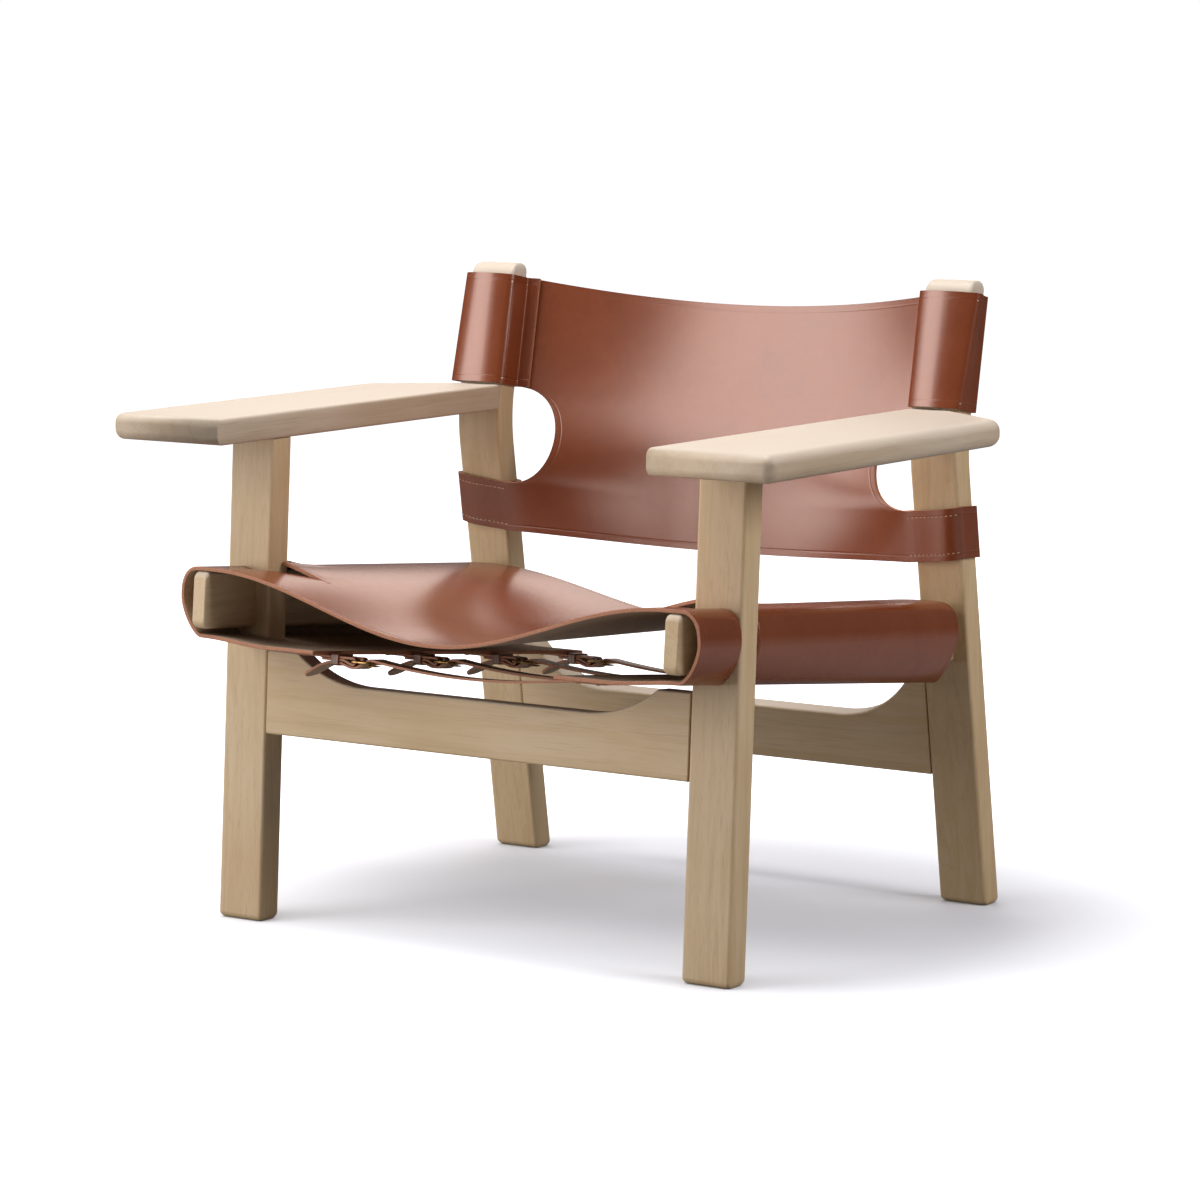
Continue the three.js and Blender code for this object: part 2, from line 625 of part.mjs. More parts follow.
function postSleeve() {
  const along = (z) => (z - POST_BEND_HEIGHT) / Math.cos(POST_RAKE);
  const outline = postLoop(REAR_LEG_DEPTH * Math.cos(POST_RAKE), SLEEVE_FRONT_ROOM, SLEEVE_FRONT_RADIUS);
  const tube = upright(outline, along(sleeveBottomZ), along(sleeveTopZ), 4);
  return tube.rotateX(-POST_RAKE).translate(legCentreX, postBendY, POST_BEND_HEIGHT);
}

function lowerLoop() {
  const slant = 1 / Math.cos(REAR_LEG_RAKE);
  const low = BACK_STRAP_BOTTOM * slant;
  const high = (BACK_STRAP_BOTTOM + BACK_STRAP_HEIGHT) * slant;
  const outline = postLoop(REAR_LEG_DEPTH * Math.cos(REAR_LEG_RAKE), 0, SLEEVE_CORNER_RADIUS);
  const tube = upright(outline, low, high, 4);
  const lift = new THREE.Matrix4().makeShear(0, BACK_STRAP_RISE, 0, 0, 0, 0);
  tube.translate(LEG_WIDTH / 2, 0, 0).applyMatrix4(lift).translate(-LEG_WIDTH / 2, 0, 0);
  return tube.rotateX(REAR_LEG_RAKE).translate(legCentreX, rearFootY, 0);
}

const PANEL_WIDTH_STEPS = 24;
const PANEL_HEIGHT_STEPS = 14;

// How far the panel lies behind the posts' front faces, and how high, at a place on it:
// across runs from -1 to 1 between the posts, upward from 0 to 1
function panelPoint(across, upward) {
  const bow = 1 - across ** 2;
  const seamTop = REAR_LEG_DEPTH - PANEL_SEAM_INSET;
  const seamDepth = THREE.MathUtils.lerp(0, seamTop, THREE.MathUtils.smoothstep(upward, 0.25, 0.55));
  const middleDepth = THREE.MathUtils.lerp(PANEL_BOTTOM_DEPTH, PANEL_TOP_DEPTH, upward);
  const bottomZ = BACK_STRAP_BOTTOM - PANEL_BOTTOM_DIP * bow;
  const topZ = sleeveTopZ - PANEL_TOP_DIP * bow - seamTop * Math.tan(POST_RAKE) * (1 - bow);
  const z = THREE.MathUtils.lerp(bottomZ, topZ, upward);
  const halfWidth = legInnerX - SLEEVE_CLEARANCE - LEATHER_THICKNESS / 2;
  return new THREE.Vector3(
    across * halfWidth, postFaceY(z) + THREE.MathUtils.lerp(seamDepth, middleDepth, bow), z);
}

function panelCutout() {
  const loopTop = BACK_STRAP_BOTTOM + BACK_STRAP_HEIGHT;
  const sleeveBack = sleeveBottomZ - REAR_LEG_DEPTH * Math.sin(POST_RAKE);
  const shape = new THREE.Shape();
  shape.absellipse(legInnerX, (loopTop + sleeveBack) / 2, CUTOUT_REACH, (sleeveBack - loopTop) / 2, 0, 2 * Math.PI);
  const plug = upright(shape, -PANEL_TOP_DEPTH, 2 * PANEL_TOP_DEPTH, 12);
  return plug.rotateX(Math.PI / 2).translate(0, postBendY + PANEL_TOP_DEPTH, 0);
}

function backSling() {
  const rows = [];
  for (let step = 0; step <= PANEL_HEIGHT_STEPS; step += 1) {
    const row = [];
    for (let column = 0; column <= PANEL_WIDTH_STEPS; column += 1) {
      row.push(panelPoint(2 * column / PANEL_WIDTH_STEPS - 1, step / PANEL_HEIGHT_STEPS));
    }
    rows.push(row.reverse());
  }
  const cutout = panelCutout();
  const panel = carved(sheetSolid(rows, LEATHER_THICKNESS), { cuts: [cutout, mirrored(cutout)] });
  const sleeve = postSleeve();
  const loop = lowerLoop();
  return carved(panel, { joins: [sleeve, mirrored(sleeve), loop, mirrored(loop)] });
}

// Straps. Each set is drawn flat in its own frame: the buckle's heel bar is at the origin, +X runs towards
// the end bar and the right flap, and +Z points out of the buckle's face, which is down under the seat.
const barHalf = BUCKLE_BAR / 2;
const barCorner = Math.hypot(barHalf, barHalf - BUCKLE_BAR_ROUNDING);
const strapLevel = -(barCorner + JOINT_GAP + STRAP_THICKNESS / 2);
const flapLevel = strapLevel - STRAP_THICKNESS / 2 - JOINT_GAP;
const buckleX = -flapEndX + BUCKLE_FROM_FLAP;
const foldLevel = strapLevel + STRAP_THICKNESS + JOINT_GAP;
const tailLevel = foldLevel + STRAP_THICKNESS + JOINT_GAP;
const loopRadius = -strapLevel;
const crossingLevel = loopRadius + STRAP_THICKNESS + JOINT_GAP;
const FOLD_ARC_STEPS = 8;

// The strap sewn to the left flap, folded round the heel bar, slotted for the tongue
function buckleStrap() {
  const path = [[-BUCKLE_FROM_FLAP - STRAP_LAP, strapLevel]];
  for (let step = 0; step <= FOLD_ARC_STEPS; step += 1) {
    const angle = -Math.PI / 2 + Math.PI * step / FOLD_ARC_STEPS;
    path.push([loopRadius * Math.cos(angle), loopRadius * Math.sin(angle)]);
  }
  path.push([-4 * loopRadius, foldLevel]);
  path.push([-STRAP_FOLD, foldLevel]);
  const slotHalf = TONGUE_SLOT_WIDTH / 2;
  const slot = boxBetween([-3 * loopRadius, -slotHalf, -3 * loopRadius], [3 * loopRadius, slotHalf, 3 * loopRadius]);
  return carved(ribbon(path, STRAP_THICKNESS, STRAP_WIDTH), { cuts: [slot] });
}

// The strap sewn to the right flap: in a shallow sag to the buckle, behind the end bar, up over the heel bar,
// and through the keeper, from which its tail hangs
function billetStrap() {
  const rightEnd = flapEndX - buckleX + STRAP_LAP;
  const climbStart = BUCKLE_LENGTH - barHalf;
  const hangStart = KEEPER_OFFSET + KEEPER_WIDTH;
  const sewnStart = rightEnd - STRAP_LAP;
  const sagging = [0, 0.15, 0.3, 0.5, 0.7, 0.85].map((share) => [
    THREE.MathUtils.lerp(sewnStart, climbStart, share),
    strapLevel + 4 * BILLET_SAG * share * (1 - share),
  ]);
  const path = [
    [rightEnd, strapLevel],
    ...sagging,
    [climbStart, strapLevel],
    [1.5 * loopRadius, crossingLevel - 0.6],
    [0.5 * loopRadius, crossingLevel],
    [-0.9 * loopRadius, crossingLevel],
    [-4 * loopRadius - STRAP_THICKNESS, tailLevel],
    [-hangStart, tailLevel],
    [-(2 * hangStart + STRAP_TAIL) / 3, tailLevel + STRAP_TAIL_DROOP / 4],
    [-STRAP_TAIL, tailLevel + STRAP_TAIL_DROOP],
  ];
  const band = ribbon(path, STRAP_THICKNESS, STRAP_WIDTH);
  const half = BILLET_SLOT_WIDTH / 2;
  const tall = 4 * loopRadius;
  const slot = upright(roundedOutline([
    [BILLET_SLOT_START, -half, half],
    [BILLET_SLOT_END, -half, half],
    [BILLET_SLOT_END, half, half],
    [BILLET_SLOT_START, half, half],
  ]), -tall, tall, 3);
  const holes = [];
  for (let hole = 1; hole <= BILLET_HOLE_COUNT; hole += 1) {
    const punch = new THREE.CylinderGeometry(BILLET_HOLE_RADIUS, BILLET_HOLE_RADIUS, 2 * tall, 10);
    holes.push(punch.rotateX(Math.PI / 2).translate(BUCKLE_LENGTH + hole * BILLET_HOLE_PITCH, 0, 0));
  }
  return carved(band, { cuts: [slot, ...holes] });
}

// The cast frame, with its heel bar at the origin
function buckleFrame() {
  const inside = STRAP_WIDTH / 2 + BUCKLE_SIDE_ROOM;
  const outside = inside + BUCKLE_BAR;
  const frame = roundedOutline([
    [-barHalf, -outside, barHalf],
    [BUCKLE_LENGTH + barHalf, -outside, BUCKLE_BAR],
    [BUCKLE_LENGTH + barHalf, outside, BUCKLE_BAR],
    [-barHalf, outside, barHalf],
  ]);
  frame.holes.push(roundedOutline([
    [barHalf, -inside, 0.5],
    [barHalf, inside, 0.5],
    [BUCKLE_LENGTH - barHalf, inside, barHalf],
    [BUCKLE_LENGTH - barHalf, -inside, barHalf],
  ]));
  return roundedSlab(frame, BUCKLE_BAR, BUCKLE_BAR_ROUNDING, 2, 3);
}

// The tongue: an eye round the heel bar and a pin that lies on the end bar
function buckleTongue() {
  const eyeInner = barCorner + JOINT_GAP;
  const eyeOuter = eyeInner + TONGUE_EYE_WALL;
  const ring = new THREE.Shape().absarc(0, 0, eyeOuter, 0, 2 * Math.PI);
  ring.holes.push(new THREE.Path().absarc(0, 0, eyeInner, 0, 2 * Math.PI, true));
  const eye = upright(ring, -TONGUE_EYE_WIDTH / 2, TONGUE_EYE_WIDTH / 2, 8).rotateX(Math.PI / 2);
  const half = TONGUE_THICKNESS / 2;
  const restLevel = barHalf + JOINT_GAP + half;
  const start = new THREE.Vector3(eyeInner + TONGUE_EYE_WALL / 2, 0, half / 2);
  const tip = new THREE.Vector3(BUCKLE_LENGTH + TONGUE_OVERHANG, 0, restLevel);
  const over = new THREE.Vector3(BUCKLE_LENGTH - 2 * BUCKLE_BAR, 0, restLevel);
  const section = new THREE.Shape().absarc(0, 0, half, 0, 2 * Math.PI);
  const pin = new THREE.ExtrudeGeometry(section, {
    steps: 6,
    curveSegments: 4,
    extrudePath: new THREE.QuadraticBezierCurve3(start, over, tip),
  });
  return carved(eye, { joins: [pin] });
}

// A leather loop that holds the billet's tail down on the folded strap
function strapKeeper() {
  const halfWidth = STRAP_WIDTH / 2 + JOINT_GAP;
  const low = strapLevel - STRAP_THICKNESS / 2 - JOINT_GAP;
  const high = tailLevel + STRAP_THICKNESS / 2 + JOINT_GAP;
  const wall = KEEPER_THICKNESS;
  const band = roundedOutline([
    [-halfWidth - wall, low - wall, wall],
    [halfWidth + wall, low - wall, wall],
    [halfWidth + wall, high + wall, wall],
    [-halfWidth - wall, high + wall, wall],
  ]);
  band.holes.push(roundedOutline([
    [-halfWidth, low, 0],
    [-halfWidth, high, 0],
    [halfWidth, high, 0],
    [halfWidth, low, 0],
  ]));
  const turn = new THREE.Matrix4().makeBasis(
    new THREE.Vector3(0, 1, 0), new THREE.Vector3(0, 0, 1), new THREE.Vector3(1, 0, 0));
  return roundedSlab(band, KEEPER_WIDTH, 0, 1, 3).applyMatrix4(turn).translate(-KEEPER_OFFSET, 0, 0);
}

const chair = new THREE.Group();

function addPiece(parent, name, geometry, finish) {
  const piece = new THREE.Mesh(geometry, new THREE.MeshStandardMaterial(finish));
  piece.name = name;
  parent.add(piece);
}

for (const [word, side] of Object.entries(SIDES)) {
  addPiece(chair, `front_leg_${word}`, onSide(side, frontLeg()), OAK);
  addPiece(chair, `rear_leg_${word}`, onSide(side, rearLeg()), OAK);
  addPiece(chair, `seat_rail_${word}`, onSide(side, seatRailBlank()), OAK);
  addPiece(chair, `armrest_${word}`, onSide(side, armrest()), OAK);
}
addPiece(chair, 'front_rail', crossRail(frontRailPlace), OAK);
addPiece(chair, 'rear_rail', crossRail(rearRailPlace), OAK);
addPiece(chair, 'seat_sling', seatSling(), SADDLE_LEATHER);
addPiece(chair, 'back_sling', backSling(), SADDLE_LEATHER);

for (let place = 1; place <= STRAP_COUNT; place += 1) {
  const share = (place - 1) / (STRAP_COUNT - 1);
  const y = THREE.MathUtils.lerp(seatFrontY + STRAP_FRONT_INSET, flapRearY - STRAP_REAR_INSET, share);
  const fall = Math.atan(flapUndersideAt(y + 0.5) - flapUndersideAt(y - 0.5));
  const set = new THREE.Group();
  set.rotation.x = Math.PI + fall;
  set.position.set(buckleX, y, flapUndersideAt(y) + flapLevel);
  addPiece(set, `buckle_strap_${place}`, buckleStrap(), STRAP_LEATHER);
  addPiece(set, `billet_strap_${place}`, billetStrap(), STRAP_LEATHER);
  addPiece(set, `buckle_frame_${place}`, buckleFrame(), BRONZE);
  addPiece(set, `buckle_tongue_${place}`, buckleTongue(), BRONZE);
  addPiece(set, `strap_keeper_${place}`, strapKeeper(), STRAP_LEATHER);
  chair.add(set);
}

// The origin is on the floor, under the middle of the chair's outer box
const outerBox = new THREE.Box3().setFromObject(chair, true);
const middle = outerBox.getCenter(new THREE.Vector3());
chair.position.set(-middle.x, -middle.y, -outerBox.min.z);

export default chair;
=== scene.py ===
# %% [markdown]
# # A leather sling lounge chair
# The real chair is a frame of pale soaped oak. One thick sheet of saddle leather hangs over two sloping
# rails and makes the seat, and a second one goes round the two rear posts and makes the back. Buckled
# straps under the seat pull it tight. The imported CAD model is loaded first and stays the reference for
# every place in this file.

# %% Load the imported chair
import json

import bmesh
import bpy
import numpy as np
from mathutils import Matrix, Vector


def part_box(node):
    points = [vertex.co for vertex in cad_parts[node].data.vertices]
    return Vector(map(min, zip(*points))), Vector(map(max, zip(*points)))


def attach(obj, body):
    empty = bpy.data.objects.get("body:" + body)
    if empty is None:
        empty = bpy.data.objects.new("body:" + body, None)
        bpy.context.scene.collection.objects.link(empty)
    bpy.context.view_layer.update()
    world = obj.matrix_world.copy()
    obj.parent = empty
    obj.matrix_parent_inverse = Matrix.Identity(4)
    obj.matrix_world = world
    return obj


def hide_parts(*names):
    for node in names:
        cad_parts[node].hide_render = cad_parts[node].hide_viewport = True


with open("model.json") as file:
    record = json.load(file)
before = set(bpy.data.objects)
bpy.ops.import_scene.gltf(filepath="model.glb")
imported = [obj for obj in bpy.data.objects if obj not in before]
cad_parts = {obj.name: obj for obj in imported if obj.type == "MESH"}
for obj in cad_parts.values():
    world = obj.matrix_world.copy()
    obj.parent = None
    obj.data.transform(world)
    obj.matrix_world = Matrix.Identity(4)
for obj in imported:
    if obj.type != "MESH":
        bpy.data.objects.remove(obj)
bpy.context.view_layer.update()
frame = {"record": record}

# %% [markdown]
# ## The maker's sizes
# These are the numbers of the drawing, in millimetres, because that is how a chair maker works; every mesh
# is turned into metres when it is made. Heights are above the floor. The chair's own drawing starts between
# the feet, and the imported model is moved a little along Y, so that step is read back from an armrest.

# %% Sizes
MM = 0.001
LEG_INNER, LEG_WIDTH, LEG_EDGE = 267.5, 57.0, 4.0
LEG_CENTRE, LEG_OUTER = LEG_INNER + LEG_WIDTH / 2, LEG_INNER + LEG_WIDTH
FOOT_SPACING, FOOT_ROUND, FOOT_SIDE_ROUND = 498.0, 7.0, 4.0
FRONT_DEPTH, FRONT_RAKE = 31.0, np.radians(3.8)
REAR_DEPTH, REAR_RAKE, POST_RAKE = 29.5, np.radians(8.0), np.radians(11.0)
BEND_HEIGHT, BEND_REACH = 499.0, 30.0
POST_TOP, POST_TOP_ROUND, POST_TOP_FLAT = 670.0, 12.0, 1.5
ARM_OUTER, ARM_TOP, ARM_THICK = 412.5, 537.0, 28.0
ARM_FRONT_REACH, ARM_REAR_SLANT = 92.0, 55.0
ARM_ROUND, ARM_SIDE_ROUND, ARM_SQUARE = 9.5, 12.0, 2.5
ARM_FRONT_CORNER, ARM_REAR_CORNER, ARM_LEAST_CORNER = 12.0, 30.0, 2.0
RAIL_THICK, RAIL_TALL, RAIL_EDGE, RAIL_END = 20.0, 60.0, 5.0, 10.0
RAIL_HEIGHT, RAIL_SLOPE = 340.0, np.radians(5.5)
RAIL_FRONT_REACH, RAIL_REAR_REACH = 80.0, 8.0
LEATHER = 4.0
JOINT_GAP = 0.3
SIDES = {"left": -1, "right": 1}


def eased(t, start, corner, end):
    """A parabola for t from 0 to 1: it leaves start towards corner and comes into end from corner."""
    return (1 - t) ** 2 * start + 2 * t * (1 - t) * corner + t**2 * end


def front_face(z):
    """Y of the front legs' front face at height z: the foot's place plus the height times the rake."""
    return -FOOT_SPACING / 2 + z * np.tan(FRONT_RAKE)


def lower_post_face(z):
    """Y of the rear legs' front face below the bend."""
    return FOOT_SPACING / 2 - z * np.tan(REAR_RAKE)


BEND_Y = lower_post_face(BEND_HEIGHT)


def post_face(z):
    """Y of the rear legs' front face: two straight runs, and a parabola within BEND_REACH of the bend."""
    upper = BEND_Y + (z - BEND_HEIGHT) * np.tan(POST_RAKE)
    t = np.clip((z - BEND_HEIGHT + BEND_REACH) / (2 * BEND_REACH), 0, 1)
    low, high = lower_post_face(BEND_HEIGHT - BEND_REACH), BEND_Y + BEND_REACH * np.tan(POST_RAKE)
    bent = np.abs(z - BEND_HEIGHT) < BEND_REACH
    return np.where(bent, eased(t, low, BEND_Y, high), np.maximum(lower_post_face(z), upper))


RAIL_START = front_face(RAIL_HEIGHT)


def rail_height(y):
    """Height of the seat rails' centre line at y: it falls to the back with the rail's slope."""
    return RAIL_HEIGHT - (y - RAIL_START) * np.tan(RAIL_SLOPE)


RAIL_REAR_HEIGHT = rail_height(FOOT_SPACING / 2)
RAIL_AT_POST = lower_post_face(RAIL_REAR_HEIGHT)
ARM_FRONT = front_face(ARM_TOP - ARM_THICK / 2) - ARM_FRONT_REACH
DEPTH_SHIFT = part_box("armrest_right")[0][1] / MM - ARM_FRONT
print(f"the packed model lies {DEPTH_SHIFT:.2f} mm further back than the drawing")

# %% [markdown]
# ## Small helpers for meshes
# A surface here is always a grid of points worked out with numpy. These helpers make the quads between the
# points, put the mesh into Blender in metres, and let the piece ride on its body. Closed pieces have their
# normals turned outwards. A sheet keeps the side that its grid gives, because that side is the smooth grain
# of the leather, and a Solidify and a Bevel modifier give it its thickness and its soft cut edge.

# %% Mesh helpers
SAME_POINT_M = 1e-6


def grid_faces(rows, columns, closed=False, start=0):
    """Quads between the points of a grid; closed also joins the last column to the first."""
    row = np.arange(rows - 1)[:, None] * columns
    column = np.arange(columns if closed else columns - 1)[None, :]
    after = (column + 1) % columns
    corners = [row + column, row + after, row + columns + after, row + columns + column]
    return np.stack(corners, axis=-1).reshape(-1, 4) + start


def capped_tubes(count, rings, corners):
    """Faces of tubes whose points follow each other: the quads round every tube, then a cap at each end."""
    first = rings * corners * np.arange(count)[:, None]
    quads = grid_faces(rings, corners, closed=True) + first[:, :, None]
    caps = (first + [0, (rings - 1) * corners])[:, :, None] + np.arange(corners)
    return [quads.reshape(-1, 4), caps.reshape(-1, corners)]


def run_along(path):
    """How far along a path each of its points lies: the summed lengths of the steps up to it."""
    return np.concatenate([[0], np.cumsum(np.linalg.norm(np.diff(path, axis=0), axis=1))])


def make_piece(name, points, faces, finishes, replaces=(), body="chair", closed=True):
    """A mesh object at the origin from points in the drawing's millimetres, riding on a body.

    The faces come as a list of arrays, with one number of corners in each array.
    """
    points = np.asarray(points, dtype=float).reshape(-1, 3) + [0, DEPTH_SHIFT, 0]
    mesh = bpy.data.meshes.new(name)
    mesh.from_pydata((points * MM).tolist(), [], sum((block.tolist() for block in faces), []))
    if closed:
        builder = bmesh.new()
        builder.from_mesh(mesh)
        bmesh.ops.remove_doubles(builder, verts=builder.verts, dist=SAME_POINT_M)
        bmesh.ops.recalc_face_normals(builder, faces=builder.faces)
        builder.to_mesh(mesh)
        builder.free()
    mesh.polygons.foreach_set("use_smooth", np.ones(len(mesh.polygons), dtype=bool))
    piece = bpy.data.objects.new(name, mesh)
    bpy.context.collection.objects.link(piece)
    for finish in finishes:
        mesh.materials.append(finish)
    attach(piece, body)
    if replaces:
        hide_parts(*replaces)
    return piece


def leather_piece(name, points, quads, sides, node, edges, thickness, edge_round):
    """A sheet with thickness on both sides of its grid and softened cut edges.

    edges is each point's distance to the nearest cut edge, which the finish reads.
    """
    piece = make_piece(name, points, [quads], sides, [node], closed=False)
    layer = piece.data.attributes.new("edge_mm", "FLOAT", "POINT")
    layer.data.foreach_set("value", np.asarray(edges, dtype=np.float32).ravel())
    solid = piece.modifiers.new("thickness", "SOLIDIFY")
    solid.thickness, solid.offset, solid.use_even_offset = thickness * MM, 0.0, True
    solid.material_offset, solid.material_offset_rim = 1, 2
    soft = piece.modifiers.new("soft_edge", "BEVEL")
    soft.width, soft.segments = edge_round * MM, 2
    soft.limit_method, soft.angle_limit, soft.harden_normals = "ANGLE", np.radians(50), True
    return piece


print("mesh helpers are ready")

# %% [markdown]
# ## Finishes
# A finish is a small tree of shader nodes. The helpers below add one node each, so that a finish reads as a
# recipe: which noise, which colours along it, and which sockets of the shader it feeds. Every noise uses
# Object coordinates, so it is fixed in the wood or leather and has the same size on every piece.


# %% Node helpers
def set_inputs(tree, node, inputs):
    """Fills a node's inputs: each value is a number, a colour or another node's output."""
    for key, value in inputs.items():
        if isinstance(value, bpy.types.NodeSocket):
            tree.links.new(value, node.inputs[key])
        else:
            node.inputs[key].default_value = value


def add_node(tree, kind, inputs=None, **settings):
    """Adds a shader node with its settings and inputs."""
    node = tree.nodes.new(kind)
    for key, value in settings.items():
        setattr(node, key, value)
    set_inputs(tree, node, inputs or {})
    return node


def new_finish(name):
    """An empty node material: itself, its tree, its principled shader and the piece's Object coordinates."""
    finish = bpy.data.materials.new(name)
    finish.use_nodes = True
    tree = finish.node_tree
    place = add_node(tree, "ShaderNodeTexCoord").outputs["Object"]
    return finish, tree, tree.nodes["Principled BSDF"], place


def srgb(red, green, blue):
    """A colour written in the usual 0 to 255 numbers, as linear light."""
    value = np.array([red, green, blue]) / 255
    linear = np.where(value <= 0.04045, value / 12.92, ((value + 0.055) / 1.055) ** 2.4)
    return (*linear, 1.0)


print("node helpers are ready")

# %% [markdown]
# Most finishes here start from a noise, whose value picks a colour from a ramp, sets the gloss, or raises a
# bump. The next helpers each add one such step and hand on its output.


# %% Pattern helpers
def noise(tree, place, scale, detail, roughness, distortion=0.0):
    """A cloudy pattern between 0 and 1."""
    return add_node(tree, "ShaderNodeTexNoise", {
        "Vector": place, "Scale": scale, "Detail": detail, "Roughness": roughness,
        "Distortion": distortion}).outputs["Fac"]


def mapped(tree, place, scale, location=(0.0, 0.0, 0.0)):
    """Coordinates times scale plus location."""
    return add_node(tree, "ShaderNodeMapping", {
        "Vector": place, "Location": location, "Scale": scale}).outputs["Vector"]


def between(tree, value, given, wanted, **settings):
    """Carries a value from one range to another and holds it at the ends."""
    return add_node(tree, "ShaderNodeMapRange", {
        "Value": value, "From Min": given[0], "From Max": given[1], "To Min": wanted[0], "To Max": wanted[1]},
        **settings).outputs["Result"]


def arithmetic(tree, operation, *values):
    """A math node's result."""
    return add_node(tree, "ShaderNodeMath", dict(enumerate(values)), operation=operation).outputs[0]


def bump(tree, height, strength, distance, inputs=None, **settings):
    """The surface's direction, tilted as if it had that height."""
    return add_node(tree, "ShaderNodeBump", {
        "Height": height, "Strength": strength, "Distance": distance, **(inputs or {})},
        **settings).outputs["Normal"]


def ramp(tree, factor, *stops):
    """A colour ramp: each stop is a place from 0 to 1 and a colour."""
    node = add_node(tree, "ShaderNodeValToRGB", {"Fac": factor})
    while len(node.color_ramp.elements) < len(stops):
        node.color_ramp.elements.new(0.5)
    for element, (place, colour) in zip(node.color_ramp.elements, stops):
        element.position = place
        element.color = colour
    return node.outputs["Color"]


def mix(tree, factor, first, second, blend="MIX"):
    """Mixes two colours; on a Mix node set to colour, sockets 6 and 7 take them and 2 gives the result."""
    return add_node(tree, "ShaderNodeMix", {0: factor, 6: first, 7: second}, data_type="RGBA",
                    blend_type=blend).outputs[2]


print("pattern helpers are ready")

# %% [markdown]
# Soaped oak is pale and matt; what shows is the grain: broad soft bands from the growth rings, and short
# dark pores that run with the board. Each board is cut along its length, so the same pattern is stretched
# along the way the board runs. A stretched noise gives the bands, and a much finer one gives the pores.
# A paler colour is painted on as the surface's normal turns upwards: a painted sheen for the light that
# glances off the faces that look up. The end grain at the tops of the posts gets the same painted sheen,
# picked out by height, because only the posts reach that height.

# %% Oak
WHOLE = (0.0, 1.0)
BAND_STRETCH, PORE_STRETCH = 0.055, 0.02
# The first colour is a pale one painted on faces that look up and on the post tops: a painted sheen.
SHEEN_PAINTED_OAK, POST_END_M = srgb(201, 188, 174), (0.648, 0.656)


def oak_finish(name, grain, early, plain, late, pore):
    """Oak whose grain runs along the axis named by grain: 0 for X, 1 for Y and 2 for Z.

    The colours are those of early, plain and late wood and of the pores.
    """
    finish, tree, shader, place = new_finish(name)
    along, fine = [1.0, 1.0, 1.0], [1.0, 1.0, 1.0]
    along[grain], fine[grain] = BAND_STRETCH, PORE_STRETCH
    bands = noise(tree, mapped(tree, place, along), scale=62.0, detail=5.0, roughness=0.62, distortion=0.9)
    pores = noise(tree, mapped(tree, place, fine), scale=780.0, detail=2.0, roughness=0.5)
    patches = noise(tree, place, scale=5.0, detail=2.0, roughness=0.5)
    wood = ramp(tree, bands, (0.22, early), (0.42, plain), (0.56, late), (0.78, early))
    tone = ramp(tree, patches, (0.35, srgb(244, 238, 228)), (0.65, srgb(255, 255, 255)))
    toned = mix(tree, 1.0, wood, tone, "MULTIPLY")
    pore_share = ramp(tree, pores, (0.28, (0.4, 0.4, 0.4, 1)), (0.42, (0, 0, 0, 1)))
    pored = mix(tree, pore_share, toned, pore)
    # Painted sheen: the colour turns paler as the normal points up, and at the tops of the posts.
    facing = add_node(tree, "ShaderNodeNewGeometry").outputs["Normal"]
    upward = add_node(tree, "ShaderNodeSeparateXYZ", {"Vector": facing}).outputs["Z"]
    painted_sheen_up = between(tree, upward, (0.1, 0.9), (0.0, 0.75))
    height = add_node(tree, "ShaderNodeSeparateXYZ", {"Vector": place}).outputs["Z"]
    painted_sheen_post_tops = between(tree, height, POST_END_M, (0.0, 0.85))
    set_inputs(tree, shader, {
        "Base Color": mix(tree, arithmetic(tree, "MAXIMUM", painted_sheen_up, painted_sheen_post_tops), pored, SHEEN_PAINTED_OAK),
        "Roughness": between(tree, bands, WHOLE, (0.44, 0.6)),
        "Normal": bump(tree, pores, strength=0.1, distance=0.0006),
        "Specular IOR Level": 0.5})
    return finish


FRAME_OAK = srgb(197, 167, 128), srgb(207, 178, 138), srgb(213, 186, 149), srgb(168, 136, 99)
# The armrests' oak is darker and warmer than the frame's; the darkening is painted shade for their fronts and
# inner sides.
SHADED_ARMREST_OAK = srgb(188, 164, 138), srgb(196, 174, 149), srgb(202, 182, 159), srgb(160, 134, 108)
OAK_ACROSS, OAK_DEEP, OAK_UPRIGHT = (oak_finish(name, axis, *FRAME_OAK) for name, axis in (
    ("oak_grain_across", 0), ("oak_grain_front_to_back", 1), ("oak_grain_upright", 2)))
OAK_ARMREST = oak_finish("oak_armrest", 1, *SHADED_ARMREST_OAK)
print("oak:", OAK_ACROSS.name, OAK_DEEP.name, OAK_UPRIGHT.name, OAK_ARMREST.name)

# %% [markdown]
# Saddle leather is thick cowhide with a smooth polished grain side, a felt-like flesh side and a paler cut
# edge. The grain side has cloudy colour, fine pores and a crease pressed in along each edge by the maker.
# Every leather piece stores how far each point is from its nearest edge, so the crease follows the edge
# exactly. Thread, flesh side and cut edge are all bundles of fibre, so one recipe serves for the three.

# %% Leather, thread and bronze
CREASE = 7.0


